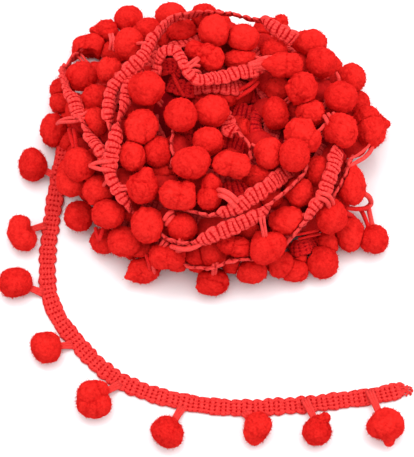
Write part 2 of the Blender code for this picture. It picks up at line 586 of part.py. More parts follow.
def loose_strip(name, wider=0.0):
    """The loose stretch of braid, lying flat, or the room that it takes up when wider is more than 0."""
    centres = loose_line(PITCH / SCALLOPS_A_PITCH / 2)
    way = along(centres)
    if wider:
        centres[0] -= way[0] * wider
        centres[-1] += way[-1] * wider
    sides = np.cross(way, np.array([0.0, 0.0, 1.0]))
    sides /= np.linalg.norm(sides, axis=1, keepdims=True)
    ups = np.cross(sides, way)
    section = braid_section(len(centres), wider)
    if not wider:
        drop = np.abs(section[..., 1:] * ups[:, None, 2:]).max(axis=(1, 2))
        centres[:, 2] = np.maximum(centres[:, 2], drop)
    return tube(name, centres, sides, ups, section)


def sheet_way(degrees):
    """A direction in the sheet's plane."""
    right, up, _ = sight_frame()
    turn = math.radians(degrees)
    return math.cos(turn) * right + math.sin(turn) * up


def loose_pompom(name, number, row, wider=0.0):
    """A pompom of the loose end, resting on the surface, with the three strands of its stalk."""
    middle = (row.wide + row.tall) / 4 * MM - SINK
    centre = at_height(row.across, row.down, middle)
    root = at_height(row.root_across, row.root_down, BRAID_THICK / 2)
    line = loose_line(MM)
    nearest = line[np.linalg.norm(line - root, axis=1).argmin()]
    bumps = [(sheet_way(row.dent_turn), -row.dent * MM, DENT_SHARP),
             (sheet_way(row.tuft_turn), row.tuft * MM, TUFT_SHARP)]
    wide = row.wide * MM + 2 * wider
    tall = row.tall * MM + 2 * wider
    parts = [ball_object("ball", centre, wide, tall, 3, number * 3.0, bumps)]
    run = centre - nearest
    run[2] = 0.0
    run /= np.linalg.norm(run)
    beside = np.array([-run[1], run[0], 0.0]) * STALK_SPREAD
    inner = centre - run * 0.3 * row.wide * MM
    inner[2] = 0.62 * centre[2]
    for side in (-1, 0, 1):
        start, end = nearest + side * beside, inner + side * beside / 2
        parts.append(strand("strand", start, end, STRAND + 3 * wider))
    return combined(name, parts)


def build():
    for old in list(bpy.data.objects):
        bpy.data.objects.remove(old)
    braid_room = loose_strip("braid_room", GAP)
    first_room = loose_pompom("first_room", 1, LOOSE_BALLS[0], GAP)
    wound_roll([braid_room, first_room])
    finished(loose_strip("loose_braid"), CORAL, 0.8)
    for number, row in enumerate(LOOSE_BALLS, 1):
        pompom = loose_pompom(f"loose_pompom_{number}", number, row)
        finished(cut_clear(pompom, braid_room), RED, 0.9)
    bpy.data.objects.remove(braid_room)
    bpy.data.objects.remove(first_room)


build()
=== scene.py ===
"""A loose roll of pompom trim: velvety pompoms on yarn stalks along a knitted, scalloped braid.

Metres, +Z up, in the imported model's frame: the surface that the trim lies on is z = 0. Places that show are
laid out on a sheet held square to one line of sight, from above the front edge. Each is carried along that
line to the roll's form or to the surface, as in the solids.
"""
import math
from collections import namedtuple

import bpy
import numpy as np
from bpy.props import FloatProperty, FloatVectorProperty, IntProperty, PointerProperty
from bpy.types import Operator, Panel, PropertyGroup
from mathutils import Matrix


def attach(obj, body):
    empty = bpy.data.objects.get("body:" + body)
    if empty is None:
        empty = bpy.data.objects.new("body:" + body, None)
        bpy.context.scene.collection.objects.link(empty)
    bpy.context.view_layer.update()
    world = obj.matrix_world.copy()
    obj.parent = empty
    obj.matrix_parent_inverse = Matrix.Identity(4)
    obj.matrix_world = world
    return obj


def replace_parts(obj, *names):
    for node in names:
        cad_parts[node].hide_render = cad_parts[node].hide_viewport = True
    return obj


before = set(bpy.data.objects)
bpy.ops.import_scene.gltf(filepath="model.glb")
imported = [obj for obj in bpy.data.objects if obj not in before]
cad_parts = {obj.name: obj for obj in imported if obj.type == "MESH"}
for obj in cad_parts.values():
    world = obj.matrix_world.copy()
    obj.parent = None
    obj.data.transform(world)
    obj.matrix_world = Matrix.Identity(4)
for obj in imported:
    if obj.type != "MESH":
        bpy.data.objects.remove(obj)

bl_info = {
    "name": "Pompom trim roll",
    "version": (1, 0, 0),
    "blender": (4, 5, 0),
    "location": "3D View > Sidebar > Pompom trim",
    "description": "Makes a loose roll of pompom trim with its free end laid out in an arc",
    "category": "Add Mesh",
}

MM = 0.001

# ---- Sizes of the trim, as its solids have them ----
PITCH = 22.0 * MM            # from one pompom to the next along the braid
POMPOM = 11.0 * MM           # usual pompom, across
SMALL_POMPOM = 8.7 * MM      # smaller ones, deep in the gaps, are made with fewer faces and fibres
BRAID_WIDE = 6.2 * MM
BRAID_THICK = 1.3 * MM
STRAND = 1.2 * MM            # one yarn strand of a stalk, across
SCALLOPS_A_PITCH = 6         # scallops on the braid's edge from one pompom to the next
SINK = 0.3 * MM              # how far a pompom's pile gives where it lies on the surface

# ---- The roll's form, through the middles of its outer pompoms ----
HALF_WIDE = 58.0 * MM
HALF_FRONT = 49.0 * MM
HALF_BACK = 54.0 * MM
HEAP_RISE = 30.0 * MM
HOLLOW_AT = (10.0 * MM, 11.0 * MM)
HOLLOW_DEEP = 14.0 * MM
HOLLOW_SPREAD = 12.0 * MM
FLAT_SPOT = 0.50
LOWEST = POMPOM / 2 - SINK
WOUND_LIFT = -5.0 * MM       # of the pompoms that are wound by rule, against the form
WOUND_HIGHEST = 20.0 * MM    # above this the placed pompoms cover the roll
UNDER_LIFT = -9.5 * MM       # of the pompoms further in, which show only in the gaps
HEART_LIFT = -11.0 * MM      # of the dark wound heart under them all
WOUND_APART = 0.92 * POMPOM  # how far apart the pompoms wound by rule lie at least
UNDER_APART = 1.05 * POMPOM  # the same for those further in

# ---- The sheet and its line of sight ----
SHEET_STEP = 0.355 * MM      # one sheet step, at the surface under the sheet's middle
SHEET_SIZE = (414, 457)
SHEET_MIDDLE = (207.0, 228.5)
SIGHT_MEETS = (-3.5 * MM, -29.0 * MM, 0.0)
SIGHT_RISE = math.radians(69.5)
SIGHT_FAR = 0.600

# ---- How finely it is made ----
TURN_STEP = 0.26 * MM        # from one row of points to the next along the turns of braid that show
BACK_STEP = 0.33 * MM        # the same for those wound round the back,
INNER_STEP = 0.75 * MM       # for those further in,
LOOSE_STEP = 0.18 * MM       # for the loose braid,
YARN_STEP = 0.60 * MM        # for single yarns,
COURSE_STEP = 0.80 * MM      # and where only the braid's course is asked for
LOOSE_CUTS, FINE_CUTS, PLAIN_CUTS, HIDDEN_CUTS = 22, 16, 12, 7    # faces along each side of a pompom's grid
HEART_AROUND, HEART_RINGS = 96, 40
CORD_ROWS = 8                # rows of the loose braid from one point of its cord to the next
WOUND_SEED, UNDER_SEED, LOOSE_SEED, FIBRE_SEED = 600, 700, 900, 5000

# ---- Stalks and frays ----
STRAND_ARCH = 0.25           # how far a strand rises over its straight line, in strands
STALK_REACH = 1.3 * POMPOM   # a stalk goes to the nearest turn that shows if it is no further off
CROSSING_LIFT = 4.0 * MM     # over the form, where a stalk's crossing is looked for
TAPER = 2.0 * MM             # along the loose braid, where it draws in to its cut end
FRAY_HALF = 0.30 * MM        # half a frayed yarn
FRAY_WAVE = 0.25 * MM        # how far it waves up and down
FRAY_LOWEST = 0.3 * MM

# ---- How the pile gives way, and its single fibres ----
BALL_GAP = 0.08 * MM         # left from each of two pompoms that meet to the plane halfway
BALL_GIVE = 0.16 * MM        # how softly the pile goes over into the flat that is pressed
BRAID_GAP = 0.15 * MM        # left between the pile and the braid that crosses it
BRAID_GIVE = 0.12 * MM
BRAID_EASE = 0.9 * MM        # how far beside the braid the pile rises again
SURFACE_GAP = 0.05 * MM      # the lowest that pile and fibres lie
SURFACE_GIVE = 0.1 * MM
FIBRE_THICK = 0.09 * MM      # from a fibre's middle to its three corners at the root
FIBRE_ROOT = 0.25 * MM       # how deep it is set in the pile
FIBRE_STRAY = 0.25 * MM      # how far its root strays

# ---- Surface, air and lamps ----
SURFACE_HALF = 3.0           # from the surface's middle to its edges
SURFACE_BELOW = 0.05 * MM    # how far it lies under the trim
ROOM_LIGHT = 0.92
LAMPS = (                    # name, place, size and watts
    ("overhead", (-0.05, 0.08, 0.85), 0.70, 3.2),
    ("window", (0.65, 0.20, 0.65), 0.60, 1.4))
GRAIN_DEEP = 0.22 * MM       # of the fine grain that the materials add
FIBRES_RUN = 0.40 * MM       # the yarn's fibres in that grain, along the braid
FIBRES_OVER = 0.70 * MM      # and across it
# Grooves in the braid are painted darker the deeper they are, darkest at DARKEST_AT deep: painted shade.
DARKEST_AT = 0.5 * MM        # how deep a groove in the braid is as dark as it gets

Ball = namedtuple("Ball", "across down wide tall lift parted")
Mark = namedtuple("Mark", "across down turn deep sharp")
Turn = namedtuple("Turn", "across down lift twist")
Wound = namedtuple("Wound", "start end climb_start climb_end lift")
Laid = namedtuple("Laid", "across down high")
Loose = namedtuple(
    "Loose", "across down wide tall root_across root_down edge dent_turn dent tuft_turn tuft parted")
Stalk = namedtuple("Stalk", "across down ball_across ball_down")
Yarn = namedtuple("Yarn", "across down lift")
Strand = namedtuple("Strand", "thick red rows")
Fray = namedtuple("Fray", "side long curl turns start")
Strip = namedtuple("Strip", "centres sides ups runs curls")
Bend = namedtuple("Bend", "twist tilt curl")
Pompom = namedtuple("Pompom", "centre half seed parted marks lobes")
Lobe = namedtuple("Lobe", "across down side drop radius")

# Pompoms that show on the roll: place on the sheet (steps), width and height (mm), how far each lies above or
# below the roll's form (mm), and how far its pile has parted into clumps (0 to 1).
BALLS = {name: [Ball(*row) for row in rows] for name, rows in {
    "back": (
        (129, 19, 10.2, 10.2, 0, 0.3), (171.5, 16.3, 11.2, 10.4, 0, 0.2), (204, 16.5, 10.0, 9.2, -1, 0.4),
        (214, 31, 11.0, 11.6, 2, 0.4), (182, 31, 10.5, 10.0, -4, 0.2), (243, 38, 11.6, 10.0, 1, 0.3),
        (104, 32, 10.0, 9.2, 0, 0.6), (91, 45, 11.5, 10.2, 1, 0.4), (129, 44, 10.6, 11.4, 2, 0.3),
        (148, 31, 10.0, 10.0, -1, 0.2), (281, 22, 5.4, 5.6, 0, 0.7), (274, 50, 9.5, 9.0, -3, 0.4),
        (310, 43, 12.2, 9.8, 0, 0.5), (203, 55, 13.0, 10.0, 1, 1.0), (240, 60, 11.5, 8.0, -2, 0.5),
        (285, 65, 12.4, 8.6, 4, 0.6), (321.5, 62.5, 10.6, 10.8, 1, 0.3), (112, 52, 8.0, 8.0, -6, 0.2),
        (163, 41, 7.0, 7.0, -7, 0.2)),
    "left": (
        (81, 76.5, 10.8, 10.8, 0, 0.7), (109.5, 71, 8.6, 10.0, 0, 0.3), (96, 98, 9.5, 9.5, -1, 0.5),
        (95, 122, 9.5, 10.0, -1, 0.3), (63, 90, 9.2, 8.6, 0, 0.5), (63, 103, 9.5, 8.8, 0, 0.4),
        (54, 130, 10.2, 12.4, 0, 0.8), (80, 164, 11.0, 11.4, 3, 0.6), (72, 141, 9.0, 8.0, -7, 0.2),
        (69, 122, 8.0, 8.0, -7, 0.2), (71, 181.5, 10.0, 10.6, 1, 0.3), (79, 216.2, 10.4, 10.8, 0, 0.3),
        (98, 191, 10.5, 10.5, 0, 0.3), (108, 214, 11.5, 10.2, 2, 0.5), (104, 241, 9.6, 9.4, -3, 0.4),
        (125, 242, 12.0, 10.6, 0, 0.5)),
    "middle": (
        (147, 89, 13.0, 11.8, 4, 0.7), (141, 127, 11.6, 12.2, 1, 0.7), (158, 152, 10.0, 11.5, -4, 0.4),
        (133, 156, 9.0, 10.5, 0, 0.6), (181, 115, 11.6, 11.6, 1, 0.2), (212, 111, 11.8, 11.2, 2, 0.2),
        (208, 141, 10.5, 10.0, -1, 0.3), (191, 163, 12.8, 11.4, 3, 0.5), (232, 165, 13.6, 11.0, 3, 0.7),
        (276, 114, 9.2, 11.2, -1, 0.3), (277, 88, 8.8, 9.5, -7, 0.3), (259, 177, 11.0, 8.0, -4, 0.4),
        (244, 131, 9.0, 9.0, -7, 0.4)),
    "right": (
        (302, 89, 10.6, 11.8, 3, 0.8), (310, 113, 10.4, 9.4, -2, 0.8), (340.5, 97.5, 11.2, 11.4, 2, 0.3),
        (352, 77.5, 10.0, 10.4, -1, 0.4), (367, 119, 9.8, 9.8, -1, 0.5), (341, 130.5, 12.2, 12.0, 2, 0.9),
        (371, 131, 10.0, 11.8, 0, 0.6), (375, 126, 8.5, 9.0, -1, 0.7), (303, 134, 12.8, 11.8, 2, 0.8),
        (294, 155, 10.8, 11.2, 5, 0.2), (269, 154, 10.0, 11.0, 1, 0.5), (317, 171, 9.0, 10.0, -3, 0.3),
        (299, 192, 9.8, 10.0, -2, 0.3), (352, 186, 9.6, 13.4, 0, 0.4), (331, 216, 10.6, 12.2, 2, 0.5),
        (350, 233.5, 11.0, 12.4, 0, 0.6), (373, 239, 11.0, 10.4, 0, 0.7), (287, 221, 13.2, 9.4, 0, 0.5)),
    "front": (
        (143, 187, 10.8, 11.6, 2, 0.7), (178, 195, 12.8, 11.8, 3, 0.7), (211, 192, 10.2, 11.8, 1, 0.6),
        (147, 225, 11.2, 12.6, 2, 0.6), (182, 227, 10.0, 10.0, -1, 0.1), (167, 256, 14.0, 9.8, 1, 0.7),
        (144, 270, 11.6, 9.4, 0, 0.8), (213, 281, 11.4, 9.8, 0, 0.8), (212, 255, 10.0, 10.0, -4, 0.3),
        (235, 246, 11.6, 9.6, 0, 0.7), (251, 271, 11.4, 8.8, 0, 0.6), (267, 248, 11.6, 11.8, 3, 0.12),
        (281, 264, 10.0, 9.4, 0, 0.6), (293.5, 270.5, 10.4, 8.2, -1, 0.6), (322, 262, 11.0, 11.2, 0, 0.4),
        (142, 247, 9.0, 9.0, -4, 0.4), (194, 259, 9.4, 9.2, -3, 0.4), (328, 243, 7.6, 9.0, -5, 0.4),
        (232, 264, 7.0, 7.0, -3, 0.4), (298, 257, 7.6, 7.6, -6, 0.3), (247, 229, 8.4, 8.4, -7, 0.3),
        (271, 197, 8.0, 8.0, -7, 0.3), (163, 170, 8.0, 8.0, -8, 0.3), (131, 210, 7.4, 7.4, -7, 0.3),
        (177, 260, 8.6, 8.6, -4, 0.3), (131, 248, 7.6, 7.6, -4, 0.3)),
}.items()}

# Dents (less than 0) and tufts on those pompoms: the pompom's place, the direction on the sheet (degrees from
# across, upward), its height (mm) and how sharply it ends.
BALL_MARKS = [Mark(*row) for row in (
    (203, 55, 20, 0.9, 9), (203, 55, 100, -0.9, 8), (203, 55, 300, 0.6, 12), (285, 65, 178, 3.0, 14),
    (54, 130, 40, -0.8, 9), (147, 89, 310, -0.8, 8), (147, 89, 290, 0.9, 20),
    (143, 187, 75, 1.6, 20), (143, 187, 120, -0.9, 9), (144, 270, 205, 2.0, 26), (213, 281, 90, -1.4, 9),
    (213, 281, 215, 1.2, 18), (178, 195, 85, -0.7, 10), (211, 192, 80, 1.0, 14), (211, 192, 20, -0.8, 9),
    (302, 89, 175, 1.0, 22), (303, 134, 70, 0.8, 10), (303, 134, 330, -0.8, 8), (232, 165, 130, -0.9, 9),
    (269, 154, 190, -1.1, 10), (235, 246, 60, -0.9, 8), (167, 256, 20, -0.9, 7), (373, 239, 115, -0.9, 9),
    (341, 130.5, 150, -0.5, 9), (375, 126, 8, 1.5, 18), (287, 221, 150, -0.7, 7), (331, 216, 110, -0.8, 9))]

# Pompoms whose pile has split into lobes: the pompom's place, how far each lobe's middle lies to the right of
# it and below it, and the lobe's radius (steps).
LOBES = [Lobe(*row) for row in (
    (23, 232, -3.5, -7.8, 10.5), (23, 232, -3.5, 0, 12.5), (23, 232, 1, 6, 12.5), (93, 398.5, -2.5, -5, 13.8),
    (93, 398.5, 6, -8.5, 9.5), (93, 398.5, -6, 5.5, 12), (93, 398.5, 0, 6.5, 13), (93, 398.5, 6.5, 6, 12.5),
    (168, 431, -2.5, -2, 14.5), (168, 431, 2, 3, 13.5), (258, 428, 0, -2.5, 14), (258, 428, -3.5, 4.5, 11.5),
    (319, 428.5, -1.5, 2.5, 14.2), (319, 428.5, 2, -9.5, 6.5), (319, 428.5, 6.5, -11, 5.5),
    (385, 427, 1.5, -4, 16), (385, 427, 3, 0, 14), (385, 427, -8, 0, 10.5), (385, 427, 4, 14, 5.5),
    (203, 55, -8.5, -5.5, 10), (203, 55, 0, -1, 12), (203, 55, 9, 4.5, 11.5), (285, 65, -3.5, 0, 12.5),
    (285, 65, 5.5, 0.5, 12.5), (232, 165, -7, -2, 13), (232, 165, 6, 1, 13), (178, 195, -5, -1, 14.5),
    (178, 195, 6, 2, 13.5), (178, 195, 10, -6, 9), (211, 192, 1, -7, 10.5), (211, 192, -1, 5, 13),
    (235, 246, -7, -2, 10.5), (235, 246, 5, 1, 11.5), (267, 248, -3, 2, 15), (267, 248, 6, -3, 13.5),
    (267, 248, -6, -9, 8), (167, 256, -6, 1, 13), (167, 256, 7, -1, 13.5), (303, 134, -3, 0, 15.5),
    (303, 134, 8, 6, 11.5), (91, 45, -7, 1, 11), (91, 45, 4, 1, 13.5), (91, 45, -3, 5, 11),
    (91, 45, -12, 9, 6.5), (91, 45, -17, 13, 3.5), (104, 32, -8, 2, 8), (104, 32, 3, -1, 12))]

# Turns of braid that show on the roll: place on the sheet (steps), height over the roll's form (mm), and
# how far the face is turned away from the line of sight (degrees).
TURNS = {name: [Turn(*row) for row in rows] for name, rows in {
    "over_back": (
        (295, 40.5, 3, 35), (289, 37, 4, 42), (280, 31, 5, 45), (270, 25, 5, 62), (263, 22, 4, 80),
        (251, 19, 3, 89), (240, 16, 3, 89), (228, 14, 3, 87), (206, 13.5, 4, 82), (190, 15, 5, 80),
        (180, 16.5, 5, 79), (172, 20, 5, 78), (165, 25.5, 5, 77), (158, 33, 5, 76), (152, 41, 5, 70),
        (147, 50, 5, 64), (141, 59, 5, 48), (131, 69, 5, 42), (122, 77.5, 5, 58), (115, 86, 5, 64),
        (110.5, 95, 5, 66), (109, 104, 5, 64), (108.5, 113, 5, 68), (109.5, 121, 4, 77), (111, 129, 3, 84),
        (113, 136, -1, 86)),
    "left_inner": (
        (140, 66, 0, 50), (134, 77, 2, 50), (129, 88, 3, 55), (126, 97, 3, 64), (124.5, 104, 3.5, 74),
        (122, 112, 4, 78), (119, 121, 4, 86), (117.5, 127, 4, 78), (116.5, 134, 4.5, 62), (115, 141, 5, 53),
        (113, 149, 5, 44), (111, 157, 5, 40), (110, 165, 5, 46), (110, 172, 5, 66), (112, 179, 5, 72),
        (116, 187, 4.5, 64), (121, 194, 4, 64), (126, 200.5, 3, 72), (131, 207, -1, 80)),
    "left_outer": (
        (87, 48, -3, 82), (79, 54, 1, 82), (73, 58.5, 3, 84), (68, 64, 3, 86), (65, 71, 4, 82),
        (65, 79, 4, 76), (66, 86, 4, 79), (69, 92, 4, 77), (73.5, 98, 4, 64), (75.5, 104, 4, 51),
        (77, 110, 4, 53), (79.5, 115, 4, 64), (82.5, 121, 4, 79), (85, 127, 4, 82), (88.5, 133.5, 4, 77),
        (93, 140, 4, 71), (98, 147, 5, 66), (103, 154, 5, 60), (107, 163, 3, 60), (111, 174, 0, 70),
        (113, 182, -3, 75)),
    "inner_loop": (
        (156, 75, -1, 72), (157, 66, 1, 74), (158.5, 58, 3, 76), (163, 52, 5, 70), (170, 50, 6, 70),
        (176.5, 51.5, 6, 70), (181.5, 57.5, 6, 72), (184.5, 65, 6, 74), (187.5, 72, 6, 72),
        (194, 77.5, 6, 70), (203, 79.3, 6, 70), (211, 78.5, 6, 62), (220, 77.3, 6, 54), (230, 74.5, 6, 51),
        (240, 72.3, 6, 51), (250, 70.8, 5, 53), (258, 69, 4, 60), (268, 65, 1, 70)),
    "hollow_back": (
        (194, 88, -5, 40), (207, 84.5, 1, 35), (222, 86.5, 2, 30), (235, 87, 1.5, 40), (246, 88.5, -2, 60)),
    "loop_inside": (
        (155, 71, -7, 40), (163, 67, -3, 15), (172, 66, -3, 10), (181, 71, -6, 30)),
    "hollow_mesh": (
        (168, 83, -9, 10), (186, 89, -6, 15), (204, 92, -5, 15)),
    "hollow_under": (
        (206, 140, -10, 20), (222, 140, -8, 10), (236, 143, -8, 10), (250, 148, -10, 20)),
    "middle_inner": (
        (204, 190, -9, 30), (224, 190, -5, 25), (243, 187, -5, 25), (262, 178, -7, 30)),
    "hollow_behind": (
        (240, 96, -8, 25), (252, 96, -8, 10), (266, 94, -9, 20)),
    "hollow_side": (
        (229, 108, -9, 25), (240, 111, -6, 5), (254, 113, -8, 10)),
    "hollow_lumps": (
        (263, 110, -8, 55), (258, 117, -6, 60), (256, 126, -5, 60), (259, 134, -6, 60), (268, 140, -8, 60)),
    "hollow_front": (
        (219, 108, -4, 5), (226, 120, -1, 10), (230, 129, -1, 15), (238, 133, -1, 78), (245, 140, -1, 86),
        (250, 148, -1, 86), (252, 160, -3, 80)),
    "hollow_left": (
        (174, 128, -5, 82), (172, 144, -4, 86), (173, 156, -4, 84), (172, 166, -6, 82)),
    "hollow_patch": (
        (184, 126, -9, 10), (184, 138, -9, 5), (183, 154, -9, 15)),
    "middle_upper": (
        (291, 168, -2, 25), (281, 176, 0, 25), (273, 183, 3, 35), (266, 188, 4, 36), (258, 193, 5, 36),
        (250, 198.5, 5, 38), (243, 204, 5, 42), (236, 208, 5, 52), (228, 211.5, 4.5, 66), (220, 214, 4, 76),
        (212, 215.5, 3, 85), (204, 214.5, 2, 88), (196, 212, 1, 88), (188, 211, -2, 88)),
    "middle_lower": (
        (306, 168, 0, 86), (301, 177, 2, 86), (292, 185.5, 3, 87), (284, 192.5, 4, 87), (276, 199, 5, 86),
        (270, 204.5, 5, 84), (266, 209, 5, 76), (261, 213.5, 5, 72), (255, 217, 5, 64), (248, 221, 5, 55),
        (241, 223.5, 5, 40), (233, 226.5, 5, 38), (225, 230, 5, 38), (217, 233.5, 5, 42), (209, 237.5, 5, 52),
        (202, 241, 4.5, 72), (196, 243, 4, 80), (187, 243.5, 4, 84), (178, 242.5, 3, 84), (170, 240, 2, 84),
        (163, 236, -1, 84)),
    "right_front": (
        (340, 150, 1, 40), (336, 156, 2, 46), (334.5, 163, 3, 48), (332.5, 170, 4, 48), (330, 178, 5, 50),
        (327, 186, 5, 52), (324, 193, 5, 55), (319, 201, 5, 63), (313.5, 209, 5, 73), (308, 217, 5, 76),
        (302, 225, 4, 83), (296, 233, 3, 86), (289, 240.5, 1, 88), (282, 247, -2, 88)),
    "right_behind": (
        (351, 160, -4, 82), (349, 165, -2, 84), (347, 170, -1, 84), (344, 177, 0, 84), (340, 186, 0, 84),
        (335, 194, 0, 84), (331, 203, -1, 84)),
    "front_low": (
        (182, 261, -2, 84), (190, 266, 1, 86), (200, 268, 2, 88), (211, 268, 3, 88), (220, 265, 3, 88),
        (230, 261.5, 3, 86), (241, 259.5, 2, 86), (252, 258, 0, 84), (262, 254, -2, 80)),
    "front_right_low": (
        (292, 249, -4, 50), (299, 248, -2, 30), (307, 246, -1.5, 20), (314, 243, -3, 30), (321, 239, -5, 40)),
}.items()}

# How a turn whose face looks twisted away lies: tilted that far, and curled round its long middle, its two
# edges bent down by that much in all (degrees).
BENDS = [Bend(*row) for row in (
    (0, 0, 0), (35, 14, 25), (53, 22, 105), (65, 29, 150), (70, 36, 160), (74, 55, 120), (77, 68, 70),
    (80, 77, 20), (83, 82, 0), (90, 90, 0))]

# Places on the sheet that the pompoms wound by rule leave clear: the braid or what lies behind shows there.
OPEN_SPOTS = (
    (246, 20), (188, 3), (268, 10), (290, 15), (342, 57), (370, 90), (374, 160), (364, 201), (303, 243),
    (52, 148), (376, 180), (362, 164), (373, 170), (246, 104), (96, 58), (112, 55), (232, 4), (78, 131),
    (69, 154), (358, 161), (246, 22), (246, 26))
OPEN_UNDER = ((186, 90), (351, 161), (168, 66))     # the same for the pompoms further in
OPEN_SPREAD = 2.0            # how far round an open spot stays clear, in sheet steps

# Turns of braid round the back and the sides, which are wound by rule: the angles round the roll and up its
# form at both ends (degrees), and the height over the form (mm).
WOUND_TURNS = [Wound(*row) for row in (
    (22, 150, 3, 6, -9.0), (152, 32, 28, 22, -7.5), (36, 146, 47, 44, -5.0))]
UNDER_TURNS = [Wound(*row) for row in (
    (200, 340, 12, 18, -7.0), (190, 350, 34, 40, -7.5), (20, 112, 60, 57, -7.5), (0, 180, 30, 38, -8.0),
    (170, 370, 62, 66, -8.0))]

# The loose end: place on the sheet (steps) and height of the braid's middle (mm).
LOOSE_ROUTE = [Laid(*row) for row in (
    (72, 130, 4.0), (68.5, 139, 4.4), (65, 148, 4.8), (62.5, 158, 5.0), (60.5, 168, 4.4), (58, 180, 3.2),
    (55, 198, 1.8), (51.5, 222, 0.7), (48, 250, 0.7), (47.5, 282, 0.7), (50, 297, 0.7), (55, 311, 0.7),
    (63, 325, 0.7), (76, 341, 0.7), (95, 362, 0.7), (119, 380, 0.7), (149, 393, 0.7), (180, 401, 0.7),
    (211, 406, 0.7), (244, 408, 0.7), (276, 406.5, 0.7), (308, 404.3, 0.7), (340, 400.3, 0.7),
    (370, 396.5, 0.7), (393, 391.8, 0.7), (402, 390, 0.7))]

# The loose pompoms: place (steps), width and height (mm), the stalk's root on the braid (steps) and how far
# to the pompom's side it lies (of half the braid's width; below 0 it lies over the braid), a dent and a tuft,
# each with its direction on the sheet (degrees) and depth or height (mm), and how far the pile has parted.
LOOSE_BALLS = [Loose(*row) for row in (
    (32.8, 165.5, 10.0, 11.8, 57, 176, 0.6, 300, 0.5, 120, 0.3, 0.1),
    (23, 232, 10.2, 12.8, 50, 226, 0.6, 10, 0.8, 90, 0.2, 0.0),
    (15, 282.5, 11.4, 10.8, 47, 293, 0.6, 300, 0.6, 100, 0.2, 0.1),
    (46, 347.7, 10.8, 10.6, 75, 341, 0.6, 200, 0.3, 150, 0.3, 0.1),
    (93, 398.5, 13.2, 12.6, 122, 382, 0.3, 190, 0.3, 300, 0.2, 0.3),
    (168, 431, 11.2, 11.2, 182.5, 401.5, 0.6, 60, 0.4, 120, 0.3, 0.1),
    (258, 428, 9.8, 11.4, 244, 408, 0.5, 320, 0.5, 260, 0.2, 0.2),
    (319, 428.5, 10.8, 10.8, 305, 401, -0.5, 20, 0.3, 200, 0.3, 0.5),
    (385, 427, 12.6, 12.8, 369, 394, -0.6, 170, 0.3, 285, 0.3, 0.15))]

# Stalks that show on the roll: where the stalk crosses the braid, and its pompom's place (steps).
STALKS = [Stalk(*row) for row in (
    (190, 70, 203, 55), (261, 216, 267, 248), (192, 246, 167, 256), (160, 258, 144, 270),
    (216, 268, 213, 281), (327, 194, 331, 216), (133, 80, 109.5, 71), (256, 70, 285, 65),
    (311, 213, 287, 221), (266, 138, 269, 154), (112, 178, 98, 191), (120, 186, 143, 187),
    (240, 262, 235, 246), (180, 248, 182, 227), (148, 45, 129, 44), (182, 18, 171.5, 16.3))]

# Pompoms that loose yarns hold, by their places, so they have no stalk of their own.
HELD_BY_YARNS = {(371, 131), (373, 239), (80, 164), (211, 192), (54, 130)}
